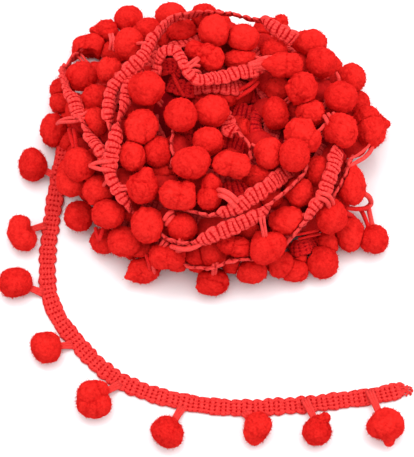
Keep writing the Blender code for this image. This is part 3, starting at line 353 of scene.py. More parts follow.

# Single yarns that show between the pompoms: how thick (mm), whether of the redder, darker colour, which is
# partly the pompoms' redder yarn and partly painted shade, and point by point the place on the sheet and the
# height over the form (mm).
LOOSE_YARNS = [Strand(thick, red, [Yarn(*row) for row in rows]) for thick, red, rows in (
    (1.0, False, ((346, 163, -2), (350, 159, 0), (356, 156, 1), (363, 151, 1), (369, 145, 0),
                  (371, 136, -1))),
    (1.6, False, ((345, 171, -2), (349, 167, 0), (357, 162, 1), (365, 157, 1), (371, 150, 0), (373, 143, 0),
                  (372, 135, -1))),
    (1.6, True, ((346, 208, 0), (352, 208.5, 0), (358, 209, 1), (366, 208, 2), (369, 206, 2))),
    (1.9, False, ((365, 208.5, 1.7), (368, 207, 2), (371, 203, 2), (369, 197, 2), (363, 193, 0))),
    (1.6, True, ((360, 208, 0), (364, 216, 1), (369, 228, 0))),
    (1.8, False, ((368, 205, 1), (370, 215, 2), (373, 228, 0))),
    (1.4, True, ((95.5, 228, 1), (97, 234, 3), (99, 240, 4), (101, 235, 3), (103.5, 228, 1))),
    (1.5, False, ((112, 162, 4), (107, 161.5, 7), (102, 161.8, 7.5), (96, 163, 6.5), (90, 165.5, 5))),
    (1.5, False, ((112, 169.5, 4), (107, 169.7, 7), (102, 169.5, 7.5), (96, 168, 6.5), (90, 166, 5))),
    (1.5, False, ((324, 116, 1), (327, 121, 2.5), (330, 128, 1))),
    (1.5, False, ((328, 114, 1), (332, 119, 2.5), (334, 125, 1))),
    (1.4, False, ((333, 113, 1), (336, 117, 2), (338, 121, 0))),
    (1.3, False, ((317, 132, 0), (321, 129, 1), (325, 124, 0))),
    (1.5, False, ((318, 193, 5), (325, 194, 7), (331, 198, 6.5), (334, 207, 3))),
    (1.5, False, ((316, 198, 5), (323, 199, 7), (328, 203, 6), (330, 210, 3))),
    (1.8, False, ((218, 190, 3), (224, 191, 6), (231, 195, 7), (238, 202, 6))),
    (1.8, False, ((218, 195, 3), (223, 196, 6), (229, 200, 7), (235, 207, 6))),
    (1.5, True, ((69, 129, 0), (71.5, 138, 0), (74, 148, -1))),
    (1.5, True, ((74, 129, 0), (75.5, 138, 0), (77, 148, -1))),
    (1.2, False, ((109, 33, 0), (111, 41, 2), (110, 50, 0))),
    (1.2, False, ((112, 33, 0), (114, 41, 2), (114, 51, 0))),
    (1.6, True, ((234, 93, 0), (243, 88, 1.5), (251, 83, 2), (258, 76, 1))),
    (1.6, True, ((236, 99, -1), (244, 94, 1), (252, 88.5, 1.5), (258, 82, 0))),
    (1.4, True, ((172, 72, -5), (177, 84, -5), (184, 97, -7))),
    (1.3, False, ((186, 70, 5), (190, 67, 6), (195, 65, 5), (199, 66, 3))),
    (1.3, False, ((187, 75, 5), (192, 71, 6), (197, 71, 5), (200, 73, 2))),
    (1.2, False, ((57, 124, 1), (60, 121, 4), (66, 118.5, 5), (74, 117.5, 5), (82, 115, 5), (87, 112, 3))),
    (1.2, False, ((57, 124, 1), (60, 122.5, 4), (66, 122, 5), (74, 121.5, 5), (81, 119.5, 5), (86, 117, 3))),
    (1.8, False, ((171, 246, 3), (179, 248.5, 5), (188, 249, 5.5), (196, 246.5, 5), (202, 243, 4))),
    (1.0, True, ((296, 235, -1), (306, 233, 0), (318, 230, -1))),
    (1.0, True, ((298, 239, -2), (308, 236.5, -1), (320, 234, -2))),
    (2.0, False, ((249, 65, 5), (257, 62, 6), (265, 58.5, 7), (275, 58, 5))),
    (2.0, False, ((249, 66, 5), (258, 64.5, 6.5), (266, 63, 7.5), (276, 63, 5))),
    (2.0, False, ((250, 68, 5), (258, 67, 6), (266, 67.5, 7), (276, 68, 5))),
    (1.2, False, ((256, 57, 3), (262, 59.5, 5), (270, 62, 6))),
    (1.3, False, ((336, 73, 0), (338.5, 77, 0.5), (339, 82, -1))),
    (1.8, True, ((345, 212, 0), (352, 216, 0), (356, 222, 0))),
    (1.4, True, ((146, 255, 1), (149, 263, 3.5), (150, 273, 3))),
    (1.4, False, ((151, 256, 1), (153, 264, 3.5), (154, 273, 3))),
    (1.6, False, ((173, 211, 1), (168, 214, 2.5), (164, 220, 2))),
    (1.6, False, ((174, 215, 0), (170, 219, 2), (166, 225, 1))))]

# Yarns of the cut end: place across the braid (-1 to 1), length (mm), the loop's radius (mm), how many times
# round, and where the loop starts (degrees).
FRAYS = [Fray(*row) for row in (
    (-0.9, 2.0, 0.7, 1.1, 150), (-0.5, 3.0, 0.8, 1.2, 80), (-0.2, 3.6, 0.9, 1.1, 200),
    (0.1, 3.4, 0.8, 1.0, 20), (0.35, 4.2, 0.9, 1.3, 260), (0.6, 3.6, 0.8, 0.9, 120),
    (0.85, 2.4, 0.7, 0.9, 330), (-0.7, 2.8, 0.6, 1.0, 30), (0.0, 4.6, 0.9, 1.2, 290),
    (-0.35, 4.0, 0.7, 1.2, 110), (0.5, 4.8, 0.9, 1.1, 60), (0.75, 4.0, 0.8, 1.3, 200),
    (0.25, 5.0, 0.8, 1.1, 340))]


# ---- What a user can change ----

def length(name, description, default):
    """A length that a user can change."""
    return FloatProperty(name=name, description=description, default=default, unit="LENGTH")


def colour(name, description, *default):
    """A colour that a user can change."""
    return FloatVectorProperty(name=name, description=description, subtype="COLOR", size=3, default=default)


class TrimSizes(PropertyGroup):
    """Sizes of the braid, the stalks and the pompoms' pile."""
    braid_wide: length("Braid width", "Across the braid, over its scallops", BRAID_WIDE)
    braid_thick: length("Braid thickness", "Through the braid", BRAID_THICK)
    scallop: length("Scallop", "Along the braid from one scallop to the next", PITCH / SCALLOPS_A_PITCH)
    notch: FloatProperty(
        name="Notch", description="How far the edge is drawn in between two scallops, against the usual",
        default=1.0, subtype="FACTOR")
    strand: length("Strand", "Across one yarn strand of a stalk", STRAND)
    parting: length("Parting", "Depth of the lines where the pile parts", 0.75 * MM)
    tuft: length("Tuft", "How far the pile's tufts stand over the lines between them", 0.30 * MM)
    grain: length("Grain", "How uneven the cut tips of the pile are", 0.07 * MM)
    fibre: length("Fibre", "How far single fibres stand out of the pile", 0.50 * MM)
    fibres: IntProperty(
        name="Fibres", description="Single fibres that stand out of each pompom that shows", default=500)


class TrimColours(PropertyGroup):
    """Colours of the yarns and of the surface."""
    pile: colour("Pile", "The tips of the pile", 0.785, 0.037, 0.030)
    # Painted shade: the pile's deep colour, mixed in where the pile parts, between its tufts, where lobes
    # meet and in dents.
    pile_shade: colour("Deep pile", "Down where the pile parts", 0.40, 0.001, 0.003)
    braid: colour("Braid", "The braid on the roll", 0.86, 0.086, 0.079)
    # Painted shade: the braid's deep colour, mixed in down between its ribs, along its lines and in its
    # holes.
    braid_shade: colour("Deep braid", "Down between the braid's ribs", 0.42, 0.003, 0.006)
    # The loose end's braid is the same braid as the roll's; its darker, redder colour is painted shade.
    loose_braid: colour("Loose braid", "The braid of the loose end", 0.78, 0.066, 0.060)
    # Painted shade: braid turns in the shade are painted this redder, darker colour; the redder yarns take it
    # too.
    redder_in_shade: colour("Hollow braid", "The braid down in the roll's hollow", 0.76, 0.027, 0.025)
    # Painted shade: the heart's dark colour, also the deep colour of the turns and pompoms further in.
    heart: colour("Heart", "The turns deep inside the roll", 0.34, 0.002, 0.010)
    surface: colour("Surface", "What the trim lies on", 0.85, 0.835, 0.85)


# ---- Places ----

def sight_frame():
    """The sheet's right, its up and the way of sight, as unit vectors."""
    right = np.array([1.0, 0.0, 0.0])
    up = np.array([0.0, math.sin(SIGHT_RISE), math.cos(SIGHT_RISE)])
    ahead = np.array([0.0, math.cos(SIGHT_RISE), -math.sin(SIGHT_RISE)])
    return right, up, ahead


def eye_point():
    """Where the line of sight starts."""
    return np.array(SIGHT_MEETS) - SIGHT_FAR * sight_frame()[2]


def half_deep(y, lift):
    """Half the form's depth on that side of its middle, at the lift."""
    return np.where(y < 0, HALF_FRONT, HALF_BACK) + lift


def columns_of(rows):
    """A table's columns as arrays."""
    return [np.array(column, float) for column in zip(*rows)]


def at_height(across, down, high):
    """Where each sight line is at its height: eye + way * (height - eye's height) / way's rise."""
    right, up, ahead = sight_frame()
    slope = SHEET_STEP / SIGHT_FAR
    x = (np.asarray(across, float) - SHEET_MIDDLE[0]) * slope
    y = (SHEET_MIDDLE[1] - np.asarray(down, float)) * slope
    way = ahead + x[..., None] * right + y[..., None] * up
    eye = eye_point()
    far = (np.asarray(high, float) - eye[2]) / way[..., 2]
    return eye + far[..., None] * way


def sheet_place(point):
    """Where a point shows on the sheet: its offsets from the line of sight over its distance along it."""
    right, up, ahead = sight_frame()
    offset = point - eye_point()
    scale = SIGHT_FAR / SHEET_STEP / (offset @ ahead)
    return SHEET_MIDDLE[0] + scale * (offset @ right), SHEET_MIDDLE[1] - scale * (offset @ up), scale


def form_height(x, y, lift):
    """Half an ellipsoid over the lowest pompoms, with a soft bell-shaped hollow taken out of its top."""
    reach = np.clip((x / (HALF_WIDE + lift)) ** 2 + (y / half_deep(y, lift)) ** 2, 0.0, 1.0)
    from_hollow = (x - HOLLOW_AT[0]) ** 2 + (y - HOLLOW_AT[1]) ** 2
    hollow = HOLLOW_DEEP * np.exp(-from_hollow / (2 * HOLLOW_SPREAD ** 2))
    dome = (HEAP_RISE + lift) * np.sqrt(1.0 - reach)
    return LOWEST + np.maximum(dome - hollow * np.sqrt(1.0 - reach), 0.0)


def on_form(across, down, lift):
    """The first point where each sight line, coming down, meets the form at its lift."""
    steps = 600
    highs = np.linspace(HEAP_RISE * 2, LOWEST, steps)
    across, down, lift = (np.asarray(v, float)[:, None] for v in (across, down, lift))
    points = at_height(across, down, np.broadcast_to(highs, (len(across), steps)))
    inside = highs <= form_height(points[..., 0], points[..., 1], lift) + 1e-9
    first = inside.argmax(axis=1)
    return points[np.arange(len(first)), first]


def unit(vectors):
    """The vectors at length 1."""
    return vectors / np.linalg.norm(vectors, axis=-1, keepdims=True)


def ways_of(line):
    """The line's way at each of its points."""
    return unit(np.gradient(line, axis=0))


def runs_of(line):
    """How far along the line each of its points lies."""
    return np.concatenate([[0.0], np.cumsum(np.linalg.norm(np.diff(line, axis=0), axis=1))])


def smooth_route(points, step, values=None):
    """A Catmull-Rom line through the points, with a point at about every step along it."""
    rows = np.asarray(points, float)
    if values is not None:
        rows = np.hstack([rows, np.asarray(values, float).reshape(len(rows), -1)])
    ends = np.vstack([2 * rows[:1] - rows[1:2], rows, 2 * rows[-1:] - rows[-2:-1]])
    t = np.linspace(0, 1, 24, endpoint=False)[:, None]
    spans = [0.5 * (2 * b + (c - a) * t + (2 * a - 5 * b + 4 * c - d) * t ** 2
                    + (3 * b - a - 3 * c + d) * t ** 3)
             for a, b, c, d in zip(ends[:-3], ends[1:-2], ends[2:-1], ends[3:])]
    line = np.vstack(spans + [rows[-1:]])
    run = runs_of(line[:, :3])
    marks = np.linspace(0, run[-1], max(2, int(round(run[-1] / step)) + 1))
    return np.stack([np.interp(marks, run, line[:, k]) for k in range(line.shape[1])], axis=1)


def softly(past, give):
    """A soft step up from nothing: give * log(1 + e^(past / give)), which is close to max(past, 0)."""
    return give * np.logaddexp(0.0, past / give)


def softly_between(value, low, high):
    """0 below low, 1 above high, a smooth step between them."""
    share = np.clip((value - low) / (high - low), 0.0, 1.0)
    return share * share * (3.0 - 2.0 * share)


def bell(value, spread):
    """1 at 0, falling to both sides as e^-(value / spread)^2."""
    return np.exp(-(value / spread) ** 2)


# ---- Meshes ----

class Skin:
    """Closed shells gathered for one piece: points, faces of any number of corners, values at the points."""

    def __init__(self, *value_names):
        self.points, self.corners, self.counts, self.total = [], [], [], 0
        self.values = {name: [] for name in value_names}

    def add(self, points, faces, **values):
        """Adds a shell. Its faces are arrays, each with a row of point numbers for each face."""
        self.points.append(points)
        for rows in faces:
            self.corners.append((rows + self.total).ravel())
            self.counts.append(np.full(len(rows), rows.shape[1]))
        for name, store in self.values.items():
            store.append(np.broadcast_to(np.asarray(values.get(name, 0.0), float), len(points)))
        self.total += len(points)

    def piece(self, name, material, slot):
        """The gathered shells as one object that rides on the trim's one body."""
        mesh = bpy.data.meshes.new(name)
        points, corners = np.concatenate(self.points), np.concatenate(self.corners)
        counts = np.concatenate(self.counts)
        mesh.vertices.add(len(points))
        mesh.vertices.foreach_set("co", points.ravel())
        mesh.loops.add(len(corners))
        mesh.loops.foreach_set("vertex_index", corners)
        mesh.polygons.add(len(counts))
        mesh.polygons.foreach_set("loop_start", np.concatenate([[0], np.cumsum(counts)[:-1]]))
        mesh.update(calc_edges=True)
        mesh.validate()
        mesh.shade_smooth()
        for value_name, store in self.values.items():
            layer = mesh.attributes.new(value_name, "FLOAT", "POINT")
            layer.data.foreach_set("value", np.concatenate(store).astype(np.float32))
        mesh.materials.append(material)
        made = bpy.data.objects.new(name, mesh)
        bpy.context.scene.collection.objects.link(made)
        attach(made, "root")
        return made


def tube_faces(stations, around):
    """Faces of a closed tube: quads between neighbouring rings, and a cap at each end."""
    i, k = np.meshgrid(np.arange(stations - 1), np.arange(around), indexing="ij")
    n = (k + 1) % around
    quads = np.stack([i * around + k, i * around + n, (i + 1) * around + n, (i + 1) * around + k], axis=-1)
    ring = np.arange(around)
    return [quads.reshape(-1, 4), ring[None, ::-1], (ring + (stations - 1) * around)[None, :]]


def tube_points(line, radius, around):
    """A round tube: each point of the line plus radius * (side * cos a + up * sin a), a going round it."""
    way = ways_of(line)
    side = unit(np.cross(way, np.array([0.13, 0.21, 0.97])))
    up = np.cross(side, way)
    a = np.linspace(0, -2 * math.pi, around, endpoint=False)
    radius = np.broadcast_to(radius, len(line))[:, None, None]
    rings = line[:, None] + radius * (np.cos(a)[:, None] * side[:, None] + np.sin(a)[:, None] * up[:, None])
    return rings.reshape(-1, 3)


def add_yarn(skin, line, radius, around, run, over):
    """A round yarn: its fibres lie by run from one point of a ring to the next, and by over ring by ring."""
    skin.add(tube_points(line, radius, around), tube_faces(len(line), around),
             run=np.tile(np.arange(float(around)) * run, len(line)), over=np.repeat(over, around))


# ---- Materials ----

class Finish:
    """A material of nodes, put together in words."""

    def __init__(self, name, roughness, sheen, specular):
        self.material = bpy.data.materials.new(name)
        self.material.use_nodes = True
        self.nodes, self.links = self.material.node_tree.nodes, self.material.node_tree.links
        self.shader = self.nodes["Principled BSDF"]
        self.set(self.shader, {"Roughness": roughness, "Sheen Weight": sheen, "Sheen Roughness": 0.5,
                               "Specular IOR Level": specular})
        self.place = self.node("ShaderNodeTexCoord").outputs["Object"]

    def node(self, kind, inputs=None, **settings):
        made = self.nodes.new(kind)
        for name, value in settings.items():
            setattr(made, name, value)
        self.set(made, inputs or {})
        return made

    def set(self, node, inputs):
        """Fills a node's inputs. A value that is another node's output is linked."""
        for name, value in inputs.items():
            if isinstance(value, bpy.types.NodeSocket):
                self.links.new(value, node.inputs[name])
            else:
                node.inputs[name].default_value = value

    def attribute(self, name):
        return self.node("ShaderNodeAttribute", attribute_name=name).outputs["Fac"]

    def noise(self, size, detail=2.0, vector=None):
        """Uneven patches of about that size, from 0 to 1."""
        return self.node("ShaderNodeTexNoise", {
            "Vector": vector or self.place, "Scale": 1.0 / size, "Detail": detail}).outputs["Fac"]

    def sum(self, *terms):
        """The sum of pairs of a value and a factor, held between 0 and 1."""
        total = 0.0
        for value, factor in terms:
            total = self.node("ShaderNodeMath", {0: value, 1: factor, 2: total},
                              operation="MULTIPLY_ADD").outputs[0]
        return self.node("ShaderNodeClamp", {"Value": total}).outputs[0]

    def mix(self, factor, low, high):
        made = self.node("ShaderNodeMix", data_type="RGBA")
        self.set(made, {0: factor, 6: low, 7: high})
        return made.outputs[2]

    def fall(self, value, near, far):
        """1 up to near, 0 from far on, a smooth step between them."""
        ends = {"Value": value, "From Min": near, "From Max": far, "To Min": 1.0, "To Max": 0.0}
        return self.node("ShaderNodeMapRange", ends, interpolation_type="SMOOTHSTEP").outputs[0]

    def maths(self, operation, first, second):
        return self.node("ShaderNodeMath", {0: first, 1: second}, operation=operation).outputs[0]

    def pair(self, x, y):
        return self.node("ShaderNodeCombineXYZ", {"X": x, "Y": y}).outputs[0]

    def finished(self, light, deep, bright, grain, strength):
        """The material, going from deep to bright with the light, with the grain as its bump."""
        bump = self.node("ShaderNodeBump", {"Height": grain, "Strength": strength, "Distance": GRAIN_DEEP})
        self.set(self.shader, {"Base Color": self.mix(light, shade(deep), shade(bright)),
                               "Normal": bump.outputs["Normal"]})
        return self.material


def shade(tint, share=1.0):
    """A colour times a share, with its alpha."""
    return (*[part * share for part in tint], 1.0)


def pile_finish(name, bright, deep):
    """Cut pile: tips that vary from patch to patch and from pompom to pompom, painted darker where the pile
    parts: painted shade.
    """
    finish = Finish(name, roughness=1.0, sheen=0.50, specular=0.05)
    finish.set(finish.shader, {"Sheen Tint": (1.0, 0.02, 0.02, 1.0)})
    patches, grain = finish.noise(1.5 * MM), finish.noise(0.6 * MM, 3.0)
    light = finish.sum((finish.attribute("tone"), 1.0), (patches, 0.45), (grain, 0.75), (1.0, -0.32),
                       (finish.attribute("crease"), -0.60))
    return finish.finished(light, deep, bright, grain, 0.5)


def yarn_finish(name, bright, deep):
    """Knitted yarn: fine fibres along each rib, dark lines between the ribs and round holes in rows, all
    darkened as painted shade.
    """
    finish = Finish(name, roughness=0.9, sheen=0.03, specular=0.10)
    fibres = finish.noise(1.0, 3.0, finish.pair(finish.attribute("run"), finish.attribute("over")))
    patches = finish.noise(2.5 * MM)
    specks = finish.noise(0.36 * MM, 1.0)
    flecks = finish.node("ShaderNodeMapRange", {
        "Value": specks, "From Min": 0.38, "From Max": 0.62}).outputs[0]
    past = finish.maths("PINGPONG", finish.attribute("rib"), 0.5)
    line = finish.maths("MULTIPLY", finish.fall(past, 0.02, 0.26), finish.attribute("cut"))
    beside = finish.maths("PINGPONG", finish.attribute("row"), HOLE_ROWS / 2)
    from_hole = finish.pair(finish.sum((beside, BRAID_WIDE / 2 / MM)),
                            finish.sum((past, PITCH / SCALLOPS_A_PITCH / 2 / MM)))
    far = finish.node("ShaderNodeVectorMath", {0: from_hole}, operation="LENGTH").outputs["Value"]
    hole = finish.maths("MULTIPLY", finish.fall(far, 0.14, 0.42), finish.attribute("hole"))
    # The grooves, the lines between the ribs and the holes are painted darker here: painted shade.
    light = finish.sum((1.0, 0.06), (patches, 0.3), (fibres, 0.9), (flecks, 0.42),
                       (finish.attribute("groove"), -0.36), (line, -0.66), (hole, -1.0))
    return finish.finished(light, deep, bright, fibres, 0.7)


# ---- Braid ----

# What the materials read at each point. Yarn: the place along and across the fibres, how deep it lies, the
# count of ribs, how dark the line beside them is, the place across the braid and how dark its holes are; the
# depth, the lines and the holes darken it as painted shade. Pile: how bright the pompom or fibre is, and how
# deep in a parting the point lies, which darkens it as painted shade.
YARN_VALUES = ("run", "over", "groove", "rib", "cut", "row", "hole")
PILE_VALUES = ("tone", "crease")

# How the braid is knitted: how far its edge is drawn in at a notch, how deep the groove there and the slit
# between two of them are, how far across the slit runs, how deep the stitches and the holes are, how wide the
# holes are and where across the braid, how much darker all of it is painted, and how dark its lines and holes
# are painted; these darkenings are painted shade.
Knit = namedtuple("Knit", "notch groove slit slit_wide stitch hole hole_wide holes deepen line dots")
HOLE_ROWS = 0.43             # from one row of holes to the next, of half the braid's width
CHUNKY = Knit(0.85 * MM, 0.36 * MM, 0.26 * MM, 0.84, 0.12 * MM, 0.10 * MM, 0.14, (-HOLE_ROWS, HOLE_ROWS),
              0.0, 0.9, 0.25)
RIBBED = Knit(0.55 * MM, 0.30 * MM, 0.24 * MM, 0.80, 0.12 * MM, 0.05 * MM, 0.12, (0.0,), 0.0, 0.8, 0.2)
OPEN = Knit(0.70 * MM, 0.10 * MM, 0.08 * MM, 0.85, 0.05 * MM, 0.50 * MM, 0.13, (-HOLE_ROWS, 0.0, HOLE_ROWS),
            0.0, 0.0, 1.0)

# Turns that lie in the shade: their redder, darker colour is painted shade, and some of them are knitted more
# openly.
SHADED = CHUNKY._replace(deepen=0.20)
SHADED_KNITS = {"front_right_low": OPEN._replace(deepen=0.05), "hollow_patch": OPEN._replace(deepen=0.40),
         "hollow_behind": SHADED, "hollow_side": SHADED, "hollow_lumps": SHADED, "hollow_under": SHADED,
         "middle_inner": SHADED, "hollow_mesh": OPEN._replace(deepen=0.30),
         "loop_inside": OPEN._replace(deepen=0.10)}
STITCH = 1.15 * MM           # from one stitch to the next across the braid
TOP_PLACES, UNDER_PLACES = 21, 9


def knit_places():
    """Places round the braid's section: across it from -1 to 1, and 1 on top, -1 underneath, 0 at an edge."""
    top, under = np.linspace(-0.93, 0.93, TOP_PLACES), np.linspace(0.9, -0.9, UNDER_PLACES)
    across = np.concatenate([top, [1.0], under, [-1.0]])
    face = np.concatenate([np.ones(TOP_PLACES), [0.0], -np.ones(UNDER_PLACES), [0.0]])
    return across, face


def knit_points(strip, sizes, knit, seed, taper):
    """The braid's skin round its middle line, and what its material reads at each point.

    Its half width swells and draws in as the root of |sin|, once a scallop, so the edge is rounded lobes with
    sharp notches. Its faces are crowned, root of (1 - across^4), and lose a bell-shaped groove between two
    scallops, in from one edge, a slit in the middle of each, in from the other edge, and rows of holes: the
    yarn runs to and fro across the braid.
    A curled braid is bent round a circle whose radius is its width over the curl.
    """
    across, face = knit_places()
    count = strip.runs[:, None] / sizes.scallop
    even = 0.35 if knit is OPEN else 0.50
    wander = even * (0.10 * np.sin(1.7 * count + seed) + 0.07 * np.sin(4.1 * count + 2 * seed))
    beat = count + wander + 0.05 * even * np.sin(3.0 * across + 2.1 * count + seed)
    wave = np.sqrt(np.abs(np.sin(math.pi * beat)))
    uneven = 1.0 + 0.05 * np.sin(beat * 2.3 + seed) + 0.04 * np.sin(beat * 5.9 + 3 * seed)
    notch = sizes.notch * knit.notch * np.where(across < 0, 1.0, 0.7)
    end = np.ones(len(strip.runs))
    if taper:
        end = np.minimum(1.0, 0.8 + 0.2 * (strip.runs[-1] - strip.runs) / taper)
    half = (sizes.braid_wide / 2 * uneven - notch * (1 - wave)) * end[:, None]
    crown = np.sqrt(np.clip(1.0 - across ** 4, 0.0, 1.0)) * (1.0 + 0.20 * bell(np.abs(across) - 0.84, 0.14))
    thick = sizes.braid_thick / 2 * (0.65 + 0.35 * wave)
    at_notch = bell(beat - np.round(beat), 0.095)
    at_slit = bell(beat - np.floor(beat) - 0.5, 0.080)
    reach = 1.0 / (1.0 + (across / knit.slit_wide) ** 8)
    from_top, from_bottom = softly_between(across, -0.75, -0.25), softly_between(-across, -0.80, -0.30)
    deep = (knit.groove * at_notch * (0.30 + 0.70 * from_top)
            + knit.slit * at_slit * reach * (0.15 + 0.85 * from_bottom))
    column = np.floor(2.0 * beat)
    loop = across * sizes.braid_wide / 2 / STITCH + 0.5 * (column % 2) + 0.3 * np.sin(2.6 * column + seed)
    marks = np.abs(np.sin(math.pi * loop)) ** 3 * (1.0 + 0.6 * np.sin(7.1 * column + 4.0 * loop))
    deep = deep + knit.stitch * marks
    for hole in knit.holes:
        deep = deep + knit.hole * (0.12 + at_notch + at_slit) * bell(across - hole, knit.hole_wide)
    up = face * np.maximum(thick * crown - deep, 0.12 * thick)
    radius = sizes.braid_wide / np.maximum(strip.curls, 0.01)[:, None]
    bend = across * half / radius
    side = (radius + up) * np.sin(bend)
    up = (radius + up) * np.cos(bend) - radius * (0.5 + 0.5 * np.cos(strip.curls / 2)[:, None])
    points = (strip.centres[:, None] + side[..., None] * strip.sides[:, None]
              + up[..., None] * strip.ups[:, None])
    # How dark the grooves, the lines between the ribs and the holes are painted: painted shade.
    between = np.round(2.0 * beat) % 2 < 0.5
    cut = np.where(between, 0.20 + 0.85 * from_top, (0.10 + 0.90 * from_bottom) * reach)
    values = {"groove": np.clip(knit.deepen + (deep / DARKEST_AT + 0.70 * marks) * np.abs(face), 0.0, 1.0),
              "rib": 2.0 * beat, "cut": knit.line * cut * np.abs(face),
              "row": across + 0.03 * np.sin(2.9 * beat + seed), "hole": knit.dots * reach * np.abs(face)}
    return points, values


def add_braid(skin, strip, sizes, knit, seed, taper=0.0):
    """The braid's skin along a strip, with the values that its yarn's material reads."""
    points, values = knit_points(strip, sizes, knit, seed, taper)
    across, face = knit_places()
    stations, around = points.shape[:2]
    values["run"] = strip.runs[:, None] / FIBRES_RUN
    values["over"] = across * sizes.braid_wide / 2 / FIBRES_OVER + 9.0 * face
    skin.add(points.reshape(-1, 3), tube_faces(stations, around),
             **{name: np.broadcast_to(value, (stations, around)).ravel() for name, value in values.items()})


def as_strip(centres, sides, curls=0.0):
    """A strip along the centres, its sides squared to its way and its ups square to both."""
    way = ways_of(centres)
    sides = unit(sides - (sides * way).sum(axis=1, keepdims=True) * way)
    return Strip(centres, sides, np.cross(sides, way), runs_of(centres), np.broadcast_to(curls, len(centres)))


def turn_strip(rows, step, wide):
    """One turn on the roll, its face tilted away from the line of sight and curled as its twist asks."""
    across, down, lift, twist = columns_of(rows)
    line = smooth_route(on_form(across, down, lift * MM), step, twist)
    centres = line[:, :3]
    way = ways_of(centres)
    side = unit(np.cross(way, -sight_frame()[2]))
    face = np.cross(side, way)
    count = np.arange(len(centres)) * step / MM
    phase = across[0]
    twist, tilt, curl = zip(*BENDS)
    angle = np.radians(np.interp(line[:, 3], twist, tilt) + 3 * np.sin(0.9 * count + phase)
                       + 3 * np.sin(2.1 * count + phase))[:, None]
    curls = np.radians(np.interp(line[:, 3], twist, curl))
    waver = 0.10 * MM * (np.sin(0.55 * count + phase) + 0.6 * np.sin(1.3 * count + phase))
    centres = centres + waver[:, None] * side
    sides = side * np.cos(angle) + face * np.sin(angle)
    centres[:, 2] = np.maximum(centres[:, 2], np.abs(sides[:, 2]) * wide / 2 + 0.2 * MM)
    return as_strip(centres, sides, curls)


def wound_strip(row, step):
    """A turn round the form at its lift, its face outward: an ellipse whose climb wavers as a sine."""
    t = np.linspace(0, 1, 60)
    angle = np.radians(row.start + (row.end - row.start) * t)
    climb = np.radians(row.climb_start + (row.climb_end - row.climb_start) * t + 2.0 * np.sin(9 * t))
    wide, deep = HALF_WIDE + row.lift * MM, half_deep(np.sin(angle), row.lift * MM)
    x = wide * np.cos(climb) * np.cos(angle)
    y = deep * np.cos(climb) * np.sin(angle)
    points = np.stack([x, y, form_height(x, y, row.lift * MM)], axis=1)
    out = unit(np.stack([x / wide ** 2, y / deep ** 2, np.sin(climb) / HEAP_RISE], axis=1))
    line = smooth_route(points, step, out)
    return as_strip(line[:, :3], np.cross(ways_of(line[:, :3]), line[:, 3:]))


def course_strips(sizes):
    """The turns that show, coarsely, for what lies against them or is rooted in them."""
    return [turn_strip(rows, COURSE_STEP, sizes.braid_wide) for rows in TURNS.values()]


def loose_strip(step):
    """The loose end's braid, level all along."""
    across, down, high = columns_of(LOOSE_ROUTE)
    centres = smooth_route(at_height(across, down, high * MM), step)
    return as_strip(centres, np.cross(ways_of(centres), np.array([0.0, 0.0, 1.0])))


# ---- Pompoms ----

def ball_grid(cuts):
    """Unit directions and quads: grids on a cube's sides, evened by tan(place * 45 degrees), blown round."""
    line = np.tan(np.linspace(-1, 1, cuts + 1) * math.pi / 4)
    a, b = (grid.ravel() for grid in np.meshgrid(line, line, indexing="ij"))
    index = np.arange(len(a)).reshape(cuts + 1, -1)
    quads = np.stack([index[:-1, :-1], index[1:, :-1], index[1:, 1:], index[:-1, 1:]], axis=-1).reshape(-1, 4)
    points, faces = [], []
    for axis in range(3):
        for sign in (1, -1):
            faces.append(quads[:, ::sign] + len(points) * len(a))
            points.append(np.roll(np.stack([np.full(len(a), float(sign)), a, b], axis=1), axis, axis=1))
    merged, back = np.unique(np.round(np.concatenate(points), 9), axis=0, return_inverse=True)
    return unit(merged), back.reshape(-1)[np.concatenate(faces)]


def ripples(directions, rng, waves, pitch):
    """A smooth uneven value, about -1 to 1: the mean of sine waves that run in random directions."""
    ways = unit(rng.normal(size=(waves, 3)))
    phases = rng.uniform(0, 2 * math.pi, waves)
    return np.sin(pitch * directions @ ways.T + phases).sum(axis=1) / math.sqrt(waves)


def partings(directions, rng, clumps, wide):
    """1 on the lines halfway between neighbouring random places on the ball, a bell to each side."""
    places = unit(rng.normal(size=(clumps, 3)))
    away = np.sort(np.arccos(np.clip(directions @ places.T, -1, 1)), axis=1)
    return bell(away[:, 1] - away[:, 0], wide)


def sheet_way(degrees):
    """A direction in the sheet's plane."""
    right, up, ahead = sight_frame()
    turn = math.radians(degrees)
    return unit(math.cos(turn) * right + math.sin(turn) * up - 0.35 * ahead)


def lobed(ways, lobes):
    """How far each way runs before it leaves the last of several balls: softly the greatest of its exits.

    A way leaves a ball at way.middle + root((way.middle)^2 - middle^2 + radius^2). The second value is near
    1 where two lobes meet; the pile is painted darker there as painted shade.
    """
    exits = []
    for middle, radius in lobes:
        along = ways @ middle
        under = along ** 2 - middle @ middle + radius ** 2
        exits.append(np.where(under > 0, along + np.sqrt(np.maximum(under, 0)), 0.0))
    exits = np.sort(np.maximum(exits, 0.0), axis=0)[::-1]
    far = (exits ** 11).sum(axis=0) ** (1 / 11)
    return far[:, None] * ways, bell((exits[0] - exits[1]) / exits[0], 0.05)


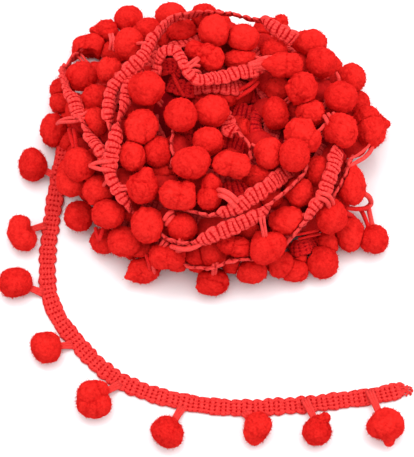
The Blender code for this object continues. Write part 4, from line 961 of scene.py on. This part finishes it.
def pompom_points(pompom, directions, sizes):
    """A ball squashed to its width, height and depth, times 1 + low ripples, less its partings.

    A few long partings fade in and out over the ball, and many short ones make clumps. Each mark adds its
    height as a bell round its direction. The grain moves every point in or out a little. The second value is
    how dark the pile is painted: painted shade in the partings, between tufts, where lobes meet and in dents.
    """
    rng = np.random.default_rng(pompom.seed)
    spun = directions @ np.linalg.qr(rng.normal(size=(3, 3)))[0]
    warp = np.stack([ripples(spun, rng, 8, 6.0) + 0.5 * ripples(spun, rng, 12, 16.0)
                     for _ in range(3)], axis=1)
    bent = unit(spun + 0.11 * warp)
    swell = 0.040 * ripples(spun, rng, 8, 3.0) + 0.022 * ripples(spun, rng, 10, 7.0)
    fade_long = np.clip(0.15 + 1.0 * ripples(spun, rng, 8, 4.0), 0, 1)
    fade_short = np.clip(0.30 + 0.7 * ripples(spun, rng, 8, 6.0), 0, 1)
    long_lines = fade_long * partings(bent, rng, 9, 0.10)
    short_lines = fade_short * partings(bent, rng, 50, 0.09)
    tufts = np.abs(ripples(bent, rng, 24, 15.0))
    tips = np.abs(ripples(spun, rng, 30, 30.0))
    right, up, ahead = sight_frame()
    points = (directions[:, :1] * right * pompom.half[0] + directions[:, 1:2] * up * pompom.half[1]
              + directions[:, 2:] * ahead * pompom.half[2])
    way = unit(points)
    split = np.zeros(len(points))
    if pompom.lobes:
        points, split = lobed(way, pompom.lobes)
    points = points * (1.0 + swell)[:, None]
    parted = pompom.parted
    drop = sizes.parting * ((0.10 + 0.85 * parted) * long_lines + (0.02 + 0.42 * parted) * short_lines)
    rise = sizes.grain * rng.normal(size=len(points)) - drop
    rise += sizes.tuft * ((0.45 + 0.7 * parted) * (tufts - 0.5) + 0.45 * (tips - 0.5))
    # Painted shade: the pile is painted darker in its partings, in the hollows between tufts and tips, where
    # lobes meet and in dents.
    crease = 0.8 * (0.15 + 0.8 * parted) * long_lines + (0.05 + 0.45 * parted) * short_lines
    crease += 0.30 * bell(tufts, 0.22) + 0.15 * bell(tips, 0.3) + split * min(0.7, 0.1 + 1.6 * parted)
    for turn, deep, sharp in pompom.marks:
        mark = np.exp(sharp * (way @ sheet_way(turn) - 1.0))
        rise = rise + deep * mark
        crease = crease + np.clip(-deep / MM, 0, 1) * 0.5 * mark ** 2
    return pompom.centre + points + rise[:, None] * way, np.clip(crease, 0, 1)


def pressed_by_balls(points, pompom, others):
    """Past the plane where two balls meet, halfway less a little, this ball gives way softly."""
    radius = pompom.half.mean()
    for other in others:
        way = other.centre - pompom.centre
        far = np.linalg.norm(way)
        reach = other.half.mean()
        if far < 1e-6 or far > radius + reach:
            continue
        way = way / far
        meet = max((far ** 2 + radius ** 2 - reach ** 2) / (2 * far), 0.35 * radius) - BALL_GAP
        past = (points - pompom.centre) @ way - meet
        points = points - softly(past, BALL_GIVE)[:, None] * way
    return points


def pressed_by_braid(points, pompom, strips, sizes):
    """Where a turn of braid crosses the ball, the pile gives way softly to the braid's thickness."""
    radius = pompom.half.max()
    room = sizes.braid_thick / 2 + BRAID_GAP
    for strip in strips:
        near = np.linalg.norm(strip.centres - pompom.centre, axis=1) < radius + sizes.braid_wide / 2
        if not near.any():
            continue
        centres, sides, ups = strip.centres[near], strip.sides[near], strip.ups[near]
        side_of = 1.0 if ((pompom.centre - centres) * ups).sum(axis=1).mean() > 0 else -1.0
        nearest = ((points[:, None] - centres[None]) ** 2).sum(axis=2).argmin(axis=1)
        offset = points - centres[nearest]
        side = np.abs((offset * sides[nearest]).sum(axis=1))
        high = side_of * (offset * ups[nearest]).sum(axis=1)
        along = np.linalg.norm(offset, axis=1) ** 2 - side ** 2 - high ** 2
        under = np.clip((sizes.braid_wide / 2 + BRAID_EASE - side) / BRAID_EASE, 0, 1)
        under = under * (along < (1.0 * MM) ** 2)
        push = np.minimum(softly(room - high, BRAID_GIVE) * under, 0.55 * radius)
        points = points + side_of * push[:, None] * ups[nearest]
    return points


def add_pompom(skin, pompom, grid, sizes, outward, others=(), strips=(), fibres=0):
    """A pompom pressed by its neighbours, level where it lies, with single fibres as tiny closed spikes."""
    directions, faces = grid
    points, crease = pompom_points(pompom, directions, sizes)
    points = pressed_by_braid(points, pompom, strips, sizes)
    points = pressed_by_balls(points, pompom, others)
    points[:, 2] += softly(SURFACE_GAP - points[:, 2], SURFACE_GIVE)
    tone = 0.50 + 0.10 * math.sin(pompom.seed * 2.7)
    skin.add(points, [faces], tone=tone, crease=crease)
    if not fibres:
        return
    rng = np.random.default_rng(pompom.seed + FIBRE_SEED)
    outer = np.flatnonzero((points - pompom.centre) @ outward > -0.35 * pompom.half.mean())
    picked = outer[rng.integers(len(outer), size=fibres)]
    root = points[picked] + FIBRE_STRAY * rng.normal(size=(fibres, 3))
    way = unit(unit(root - pompom.centre) + 0.40 * rng.normal(size=(fibres, 3)))
    side = unit(np.cross(way, rng.normal(size=(fibres, 3))))
    other = np.cross(way, side)
    long = sizes.fibre * rng.uniform(0.4, 1.2, size=(fibres, 1))
    sunk = root - FIBRE_ROOT * way
    corners = [sunk + FIBRE_THICK * (math.cos(a) * side + math.sin(a) * other) for a in (0.0, 2.1, 4.2)]
    spikes = np.stack(corners + [sunk + (long + FIBRE_ROOT) * way], axis=1).reshape(-1, 3)
    spikes[:, 2] = np.maximum(spikes[:, 2], SURFACE_GAP)
    four = np.array([(0, 2, 1), (0, 1, 3), (1, 2, 3), (2, 0, 3)])
    triangles = (np.arange(fibres)[:, None, None] * 4 + four).reshape(-1, 3)
    tip = np.array([0.0, 0.0, 0.0, 1.0])
    # Each fibre's tone wavers at random and is brighter at its tip; at its root it takes the pile's painted
    # crease shade.
    shades = tone + 0.06 * rng.normal(size=(fibres, 1)) + 0.15 * tip
    skin.add(spikes, [triangles], tone=shades.ravel(), crease=(crease[picked][:, None] * (1 - tip)).ravel())


def leaves_clear(point, spots):
    """Whether a usual pompom there covers none of the open spots."""
    across, down, scale = sheet_place(point)
    room = POMPOM / 2 * scale + OPEN_SPREAD
    return all(math.hypot(across - spot[0], down - spot[1]) > room for spot in spots)


def wound_centres(taken, lift, apart):
    """Places of the pompoms wound by rule: a spiral from the surface up over the form at its lift.

    One lies wherever the spiral comes to a place that is clear of every other pompom and of the open spots.
    """
    stride = 0.4 * POMPOM
    kept = [np.array(centre) for centre in taken]
    found = []
    climb, angle = 0.0, 0.35
    while climb < math.radians(84):
        x = (HALF_WIDE + lift) * math.cos(climb) * math.cos(angle)
        y = float(half_deep(math.sin(angle), lift)) * math.cos(climb) * math.sin(angle)
        point = np.array([x, y, float(form_height(np.array(x), np.array(y), lift))])
        clear = not kept or min(np.linalg.norm(np.array(kept) - point, axis=1)) > apart
        if clear and leaves_clear(point, OPEN_SPOTS if taken else OPEN_UNDER):
            kept.append(point)
            found.append(point)
        step = stride / max(math.hypot(x, y), POMPOM)
        angle += step
        climb += step / (2 * math.pi) * stride / (0.8 * HALF_FRONT)
    return found


def marks_of(ball):
    """The dents and tufts of a table's pompom: direction (degrees), height and how sharply it ends."""
    return [(mark.turn, mark.deep * MM, mark.sharp) for mark in BALL_MARKS
            if (mark.across, mark.down) == (ball.across, ball.down)]


def lobes_of(ball, centre):
    """The middles of a pompom's lobes from its own, and their radii. A step is wider further off."""
    right, up, ahead = sight_frame()
    step = SHEET_STEP * (1.0 + (centre - np.array(SIGHT_MEETS)) @ ahead / SIGHT_FAR)
    return [(step * (lobe.side * right - lobe.drop * up), step * lobe.radius) for lobe in LOBES
            if (lobe.across, lobe.down) == (ball.across, ball.down)]


def placed_pompoms(rows, first_seed):
    """A table's pompoms, each where its sight line meets the form at its lift, or higher if it would sink."""
    across, down, wide, tall, lift, _ = columns_of(rows)
    centres = on_form(across, down, lift * MM)
    centres[:, 2] = np.maximum(centres[:, 2], (wide + tall) / 4 * MM - SINK)
    made = []
    for seed, (row, centre) in enumerate(zip(rows, centres), first_seed):
        half = np.array([row.wide, row.tall, (row.wide + row.tall) / 2]) / 2 * MM
        made.append(Pompom(centre, half, seed, row.parted, marks_of(row), lobes_of(row, centre)))
    return made


def round_pompom(centre, seed):
    """A pompom wound by rule: a ball of about the usual size."""
    size = POMPOM * (1.0 + 0.06 * math.sin(seed * 1.9))
    return Pompom(centre, np.full(3, size / 2), seed, 0.4 + 0.3 * math.sin(seed * 1.3), [], [])


def loose_pompoms():
    """The pompoms of the loose end, each resting on the surface."""
    made = []
    for seed, row in enumerate(LOOSE_BALLS, LOOSE_SEED):
        middle = (row.wide + row.tall) / 4 * MM
        centre = at_height(row.across, row.down, middle - SINK)
        marks = [(row.dent_turn, -row.dent * MM, 5.0), (row.tuft_turn, row.tuft * MM, 9.0)]
        half = np.array([row.wide / 2 * MM, row.tall / 2 * MM, middle])
        made.append(Pompom(centre, half, seed, row.parted, marks, lobes_of(row, centre)))
    return made


def roll_layout():
    """The roll's pompoms by group: those of each table, then those wound by rule and those further in."""
    groups = {name: placed_pompoms(rows, 100 * number)
              for number, (name, rows) in enumerate(BALLS.items(), 1)}
    placed = [pompom.centre for group in groups.values() for pompom in group]
    wound = [centre for centre in wound_centres(placed, WOUND_LIFT, WOUND_APART) if centre[2] < WOUND_HIGHEST]
    under = wound_centres([], UNDER_LIFT, UNDER_APART)
    groups["wound"] = [round_pompom(centre, seed) for seed, centre in enumerate(wound, WOUND_SEED)]
    groups["under"] = [round_pompom(centre, seed) for seed, centre in enumerate(under, UNDER_SEED)]
    return groups


# ---- Stalks ----

def add_strand(skin, start, end, across):
    """One yarn strand, six-sided and a little arched: the line from start to end plus the arch * sin up."""
    t = np.linspace(0, 1, 6)[:, None]
    line = start + (end - start) * t
    line[:, 2] += STRAND_ARCH * across * np.sin(math.pi * t[:, 0])
    add_yarn(skin, line, across / 2 * (1.0 + 0.08 * np.cos(9 * t[:, 0])), 6, 1.1, t[:, 0] * 4.0)


def add_stalk(skin, root, pompom, sizes, lean, spread=0.60, strands=2):
    """Strands side by side from the root to well inside the pompom, lean being the braid's up there.

    The spread is from the middle to the outer strands, in strands, and halves towards the pompom.
    """
    run = unit(pompom.centre - root)
    beside = unit(np.cross(run, lean)) * spread * sizes.strand
    inner = pompom.centre - run * 0.45 * pompom.half.mean()
    for side in np.linspace(1.0, -1.0, strands):
        add_strand(skin, root + side * beside, inner + 0.5 * side * beside, sizes.strand)


# ---- Operators ----

def settings_of(context):
    """The sizes and colours that a user can change."""
    return context.scene.trim_sizes, context.scene.trim_colours


def stood_up(name, data, side, up, back, place):
    """The camera or a lamp as an object at its place, looking away from its back."""
    made = bpy.data.objects.new(name, data)
    bpy.context.scene.collection.objects.link(made)
    turn = np.eye(4)
    turn[:3, :3] = np.stack([side, up, back], axis=1)
    turn[:3, 3] = place
    made.matrix_world = turn.T
    return made


class TRIM_OT_stage(Operator):
    """Lays a plain pale surface under the trim, with soft light over it and a camera on the line of sight"""
    bl_idname = "trim.stage"
    bl_label = "Surface, light and camera"

    def execute(self, context):
        scene, colours = context.scene, settings_of(context)[1]
        scene.view_settings.view_transform = "Standard"
        scene.view_settings.look = "Medium High Contrast"
        lens = bpy.data.cameras.new("camera")
        lens.sensor_width = 36.0
        lens.lens = SIGHT_FAR / SHEET_STEP / max(SHEET_SIZE) * lens.sensor_width
        lens.clip_start = 0.01
        right, up, ahead = sight_frame()
        scene.camera = stood_up("camera", lens, right, up, -ahead, eye_point())
        mesh = bpy.data.meshes.new("surface")
        corners = [(x * SURFACE_HALF, y * SURFACE_HALF, -SURFACE_BELOW)
                   for x, y in ((-1, -1), (1, -1), (1, 1), (-1, 1))]
        mesh.from_pydata(corners, [], [(0, 1, 2, 3)])
        finish = Finish("surface", roughness=0.16, sheen=0.0, specular=0.35)
        finish.set(finish.shader, {"Base Color": finish.mix(
            finish.noise(0.12, 1.0), shade(colours.surface, 0.985), shade(colours.surface))})
        mesh.materials.append(finish.material)
        surface = bpy.data.objects.new("surface", mesh)
        scene.collection.objects.link(surface)
        scene.world = bpy.data.worlds.new("soft_room")
        scene.world.use_nodes = True
        air = scene.world.node_tree.nodes["Background"].inputs
        air["Color"].default_value, air["Strength"].default_value = (1.0, 1.0, 1.0, 1.0), ROOM_LIGHT
        for name, place, size, watts in LAMPS:
            lamp = bpy.data.lights.new(name, "AREA")
            lamp.energy, lamp.size = watts, size
            back = unit(np.array(place))
            side = unit(np.cross(np.array([0.0, 1.0, 0.01]), back))
            stood_up(name, lamp, side, np.cross(back, side), back, place)
        return {"FINISHED"}


class TRIM_OT_heart(Operator):
    """Makes the wound heart of the roll, which shows only deep in the gaps, dark with painted shade"""
    bl_idname = "trim.heart"
    bl_label = "Wound heart"

    def execute(self, context):
        """Rings of the form at the heart's lift with ridges, cos(turns + angle), drawn in below."""
        colours = settings_of(context)[1]
        turns, ridge_high = 7.0, 0.9 * MM
        angle = np.linspace(0, 2 * math.pi, HEART_AROUND, endpoint=False)
        wide, deep = HALF_WIDE + HEART_LIFT, half_deep(np.sin(angle), HEART_LIFT)
        shares = np.sin(np.linspace(0.03, 0.48, HEART_RINGS) * math.pi)[:, None]
        x, y = shares * wide * np.cos(angle), shares * deep * np.sin(angle)
        ridge = ridge_high * np.cos(2 * math.pi * turns * shares + angle) * (1 - shares ** 6)
        rings = [np.stack([x, y, form_height(x, y, HEART_LIFT) + ridge], axis=-1)]
        for share, high in ((1.0, LOWEST), (0.9, 0.45 * LOWEST), (FLAT_SPOT, 0.1 * MM)):
            rings.append(np.stack([share * wide * np.cos(angle), share * deep * np.sin(angle),
                                   np.full(HEART_AROUND, high)], axis=-1)[None])
        rings = np.concatenate(rings)[::-1]
        skin = Skin(*YARN_VALUES)
        # The whole heart is painted a little darker through its groove value: painted shade.
        skin.add(rings.reshape(-1, 3), tube_faces(len(rings), HEART_AROUND), groove=0.3)
        finish = yarn_finish("heart_yarn", colours.heart, shade(colours.heart, 0.3)[:3])
        heart = skin.piece("heart_turns", finish, "pompom_yarn")
        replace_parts(heart, "wound_roll")
        return {"FINISHED"}


class TRIM_OT_roll_braid(Operator):
    """Knits the turns of braid on the roll, those that show and those wound round its back and inside it"""
    bl_idname = "trim.roll_braid"
    bl_label = "Turns of braid"

    def execute(self, context):
        sizes, colours = settings_of(context)
        finish = yarn_finish("braid_yarn_coral", colours.braid, colours.braid_shade)
        # Painted shade: the turns further in are the braid painted darker.
        shaded_under_finish = yarn_finish("braid_yarn_inner", shade(colours.braid, 0.75)[:3], colours.heart)
        # Painted shade: turns in the shade are painted redder and darker.
        shaded_hollow_finish = yarn_finish("braid_yarn_hollow", colours.redder_in_shade, colours.heart)
        skin, hollow_skin = Skin(*YARN_VALUES), Skin(*YARN_VALUES)
        for seed, (name, rows) in enumerate(TURNS.items()):
            strip = turn_strip(rows, TURN_STEP, sizes.braid_wide)
            add_braid(hollow_skin if name in SHADED_KNITS else skin, strip, sizes, SHADED_KNITS.get(name, CHUNKY), seed)
        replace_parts(skin.piece("top_turns", finish, "braid_yarn"), "wound_roll")
        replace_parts(hollow_skin.piece("hollow_turns", shaded_hollow_finish, "braid_yarn"), "wound_roll")
        skin = Skin(*YARN_VALUES)
        for seed, row in enumerate(WOUND_TURNS, 20):
            add_braid(skin, wound_strip(row, BACK_STEP), sizes, RIBBED, seed)
        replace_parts(skin.piece("back_turns", finish, "braid_yarn"), "wound_roll")
        skin = Skin(*YARN_VALUES)
        for seed, row in enumerate(UNDER_TURNS, 30):
            add_braid(skin, wound_strip(row, INNER_STEP), sizes, RIBBED, seed)
        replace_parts(skin.piece("inner_turns", shaded_under_finish, "braid_yarn"), "wound_roll")
        return {"FINISHED"}


class TRIM_OT_roll_pompoms(Operator):
    """Makes the roll's pompoms, each pressed by its neighbours and by the braid that crosses it"""
    bl_idname = "trim.roll_pompoms"
    bl_label = "Pompoms of the roll"

    def execute(self, context):
        sizes, colours = settings_of(context)
        finish = pile_finish("pompom_pile", colours.pile, colours.pile_shade)
        # Painted shade: the pompoms further in are the pile painted darker.
        shaded_under_finish = pile_finish("pompom_pile_inner", shade(colours.pile, 0.85)[:3], colours.heart)
        fine, plain, hidden = ball_grid(FINE_CUTS), ball_grid(PLAIN_CUTS), ball_grid(HIDDEN_CUTS)
        groups = roll_layout()
        everyone = [pompom for group in groups.values() for pompom in group]
        strips = course_strips(sizes) + [wound_strip(row, COURSE_STEP) for row in WOUND_TURNS]
        for name, group in groups.items():
            skin = Skin(*PILE_VALUES)
            for pompom in group:
                if name == "under":
                    add_pompom(skin, pompom, hidden, sizes, unit(pompom.centre))
                    continue
                others = [other for other in everyone if other is not pompom]
                small = pompom.half.mean() < SMALL_POMPOM / 2
                grid = plain if small or name == "wound" else fine
                fibres = sizes.fibres // 2 if small else sizes.fibres
                add_pompom(skin, pompom, grid, sizes, unit(pompom.centre), others, strips, fibres)
            piece = skin.piece(f"{name}_pompoms", shaded_under_finish if name == "under" else finish, "pompom_yarn")
            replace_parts(piece, "wound_roll")
        return {"FINISHED"}


class TRIM_OT_roll_stalks(Operator):
    """Twists the stalks between the roll's pompoms and the braid, and the yarns that show between them"""
    bl_idname = "trim.roll_stalks"
    bl_label = "Stalks of the roll"

    def execute(self, context):
        sizes, colours = settings_of(context)
        strips = course_strips(sizes)
        centres = np.concatenate([strip.centres for strip in strips])
        ups = np.concatenate([strip.ups for strip in strips])
        groups = roll_layout()
        by_place = {(row.across, row.down): pompom for name, rows in BALLS.items()
                    for row, pompom in zip(rows, groups[name])}
        placed = list(by_place.values())
        skin, red_skin = Skin(*YARN_VALUES), Skin(*YARN_VALUES)
        hidden = {pompom.seed for pompom in placed}
        done = {by_place[place].seed for place in HELD_BY_YARNS}
        for stalk in STALKS:
            pompom = by_place[(stalk.ball_across, stalk.ball_down)]
            done.add(pompom.seed)
            aim = on_form([stalk.across], [stalk.down], [CROSSING_LIFT])[0]
            nearest = np.linalg.norm(centres - aim, axis=1).argmin()
            face = ups[nearest] * (1.0 if ups[nearest] @ -sight_frame()[2] > 0 else -1.0)
            root = centres[nearest] + face * (sizes.braid_thick / 2 + 0.25 * sizes.strand)
            add_stalk(skin, root, pompom, sizes, face)
        for pompom in placed + groups["wound"]:
            if pompom.seed in done:
                continue
            away = np.linalg.norm(centres - pompom.centre, axis=1)
            nearest = away.argmin()
            if away[nearest] < STALK_REACH and pompom.seed not in hidden:
                add_stalk(skin, centres[nearest], pompom, sizes, ups[nearest])
            else:
                inner = pompom.centre * np.array([0.8, 0.8, 0.75])
                add_stalk(skin, inner, pompom, sizes, np.array([0.0, 0.0, 1.0]))
        for yarn in LOOSE_YARNS:
            across, down, lift = columns_of(yarn.rows)
            line = smooth_route(on_form(across, down, lift * MM), YARN_STEP)
            add_yarn(red_skin if yarn.red else skin, line, yarn.thick / 2 * MM, 8, 0.7,
                     np.arange(len(line)) * 0.5)
        finish = yarn_finish("stalk_yarn", colours.braid, colours.braid_shade)
        # The redder yarns: partly the pompoms' redder yarn, partly painted shade.
        red_shaded_finish = yarn_finish("red_shaded_yarn", colours.redder_in_shade, colours.heart)
        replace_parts(skin.piece("roll_stalks", finish, "braid_yarn"), "wound_roll")
        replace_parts(red_skin.piece("roll_yarns", red_shaded_finish, "braid_yarn"), "wound_roll")
        return {"FINISHED"}


class TRIM_OT_loose_pompoms(Operator):
    """Makes the nine pompoms of the loose end and the stalk of each"""
    bl_idname = "trim.loose_pompoms"
    bl_label = "Loose pompoms"

    def execute(self, context):
        sizes, colours = settings_of(context)
        finish = yarn_finish("braid_yarn_loose", colours.loose_braid, colours.braid_shade)
        pile = pile_finish("pompom_pile_loose", colours.pile, colours.pile_shade)
        strip = loose_strip(COURSE_STEP)
        grid, up = ball_grid(LOOSE_CUTS), np.array([0.0, 0.0, 1.0])
        for number, (row, pompom) in enumerate(zip(LOOSE_BALLS, loose_pompoms()), 1):
            skin = Skin(*PILE_VALUES)
            add_pompom(skin, pompom, grid, sizes, up, (), [strip], 2 * sizes.fibres)
            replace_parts(skin.piece(f"loose_pile_{number}", pile, "pompom_yarn"), f"loose_pompom_{number}")
            root = at_height(row.root_across, row.root_down, sizes.braid_thick)
            nearest = np.linalg.norm(strip.centres - root, axis=1).argmin()
            middle, side = strip.centres[nearest], strip.sides[nearest]
            side = side * np.sign((pompom.centre - middle) @ side)
            over = 0.0 if row.edge > 0 else sizes.braid_thick / 2 + 0.3 * sizes.strand
            root = middle + row.edge * sizes.braid_wide / 2 * side + over * strip.ups[nearest]
            skin = Skin(*YARN_VALUES)
            add_stalk(skin, root, pompom, sizes, up, 0.80, 3)
            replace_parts(skin.piece(f"loose_stalk_{number}", finish, "braid_yarn"), f"loose_pompom_{number}")
        return {"FINISHED"}


class TRIM_OT_cut_end(Operator):
    """Frays the cut end of the loose braid: yarns that run on from it and curl"""
    bl_idname = "trim.cut_end"
    bl_label = "Cut end"

    def execute(self, context):
        """Each yarn is a circle, grown by the root of the way along, added to a straight line."""
        sizes, colours = settings_of(context)
        finish = yarn_finish("cut_end_yarn", colours.loose_braid, colours.braid_shade)
        strip = loose_strip(LOOSE_STEP)
        skin = Skin(*YARN_VALUES)
        end, side, up = strip.centres[-10], strip.sides[-1], strip.ups[-1]
        way = np.cross(up, side)
        for row in FRAYS:
            t = np.linspace(0, 1, 26)[:, None]
            turn = math.radians(row.start) + 2 * math.pi * row.turns * t
            curl = row.curl * MM * np.sqrt(t)
            line = (end + side * row.side * 0.40 * sizes.braid_wide + way * row.long * MM * t
                    + curl * (np.cos(turn) - math.cos(math.radians(row.start))) * way
                    + curl * np.sin(turn) * side + up * FRAY_WAVE * np.sin(5 * t + row.start))
            line[:, 2] = np.maximum(line[:, 2], FRAY_LOWEST)
            add_yarn(skin, line, FRAY_HALF, 6, 1.0, t[:, 0] * 6)
        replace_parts(skin.piece("cut_end_yarns", finish, "braid_yarn"), "loose_braid")
        return {"FINISHED"}


class TRIM_OT_loose_braid(Operator):
    """Knits the loose end's braid along its route, the braid that carries the pompoms, stalks and cut end"""
    bl_idname = "trim.loose_braid"
    bl_label = "Loose braid"

    def execute(self, context):
        sizes, colours = settings_of(context)
        strip = loose_strip(LOOSE_STEP)
        skin = Skin(*YARN_VALUES)
        add_braid(skin, strip, sizes, OPEN, 3, TAPER)
        finish = yarn_finish("braid_yarn_open", colours.loose_braid, colours.braid_shade)
        braid = skin.piece("loose_knit", finish, "braid_yarn")
        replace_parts(braid, "loose_braid")
        path = strip.centres[::CORD_ROWS]
        if (len(strip.centres) - 1) % CORD_ROWS:
            path = np.vstack([path, strip.centres[-1:]])
        return {"FINISHED"}


class TRIM_PT_panel(Panel):
    """Lists the trim's operators and what can be changed"""
    bl_idname = "TRIM_PT_panel"
    bl_label = "Pompom trim"
    bl_space_type = "VIEW_3D"
    bl_region_type = "UI"
    bl_category = "Pompom trim"

    def draw(self, context):
        for group in (context.scene.trim_sizes, context.scene.trim_colours):
            for name in group.__annotations__:
                self.layout.prop(group, name)
        for operator in OPERATORS:
            self.layout.operator(operator.bl_idname)


OPERATORS = (TRIM_OT_stage, TRIM_OT_loose_pompoms, TRIM_OT_cut_end, TRIM_OT_loose_braid, TRIM_OT_heart,
             TRIM_OT_roll_braid, TRIM_OT_roll_pompoms, TRIM_OT_roll_stalks)
CLASSES = (TrimSizes, TrimColours, *OPERATORS, TRIM_PT_panel)


def register():
    """Adds the properties, the operators and the panel."""
    for cls in CLASSES:
        bpy.utils.register_class(cls)
    bpy.types.Scene.trim_sizes = PointerProperty(type=TrimSizes)
    bpy.types.Scene.trim_colours = PointerProperty(type=TrimColours)


def unregister():
    """Takes them away again."""
    del bpy.types.Scene.trim_colours
    del bpy.types.Scene.trim_sizes
    for cls in reversed(CLASSES):
        bpy.utils.unregister_class(cls)


def main():
    """Registers the classes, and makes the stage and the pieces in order."""
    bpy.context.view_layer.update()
    register()
    bpy.ops.trim.stage()
    bpy.ops.trim.loose_pompoms()
    bpy.ops.trim.cut_end()
    bpy.ops.trim.loose_braid()
    bpy.ops.trim.heart()
    bpy.ops.trim.roll_braid()
    bpy.ops.trim.roll_pompoms()
    bpy.ops.trim.roll_stalks()


if __name__ == "__main__":
    main()
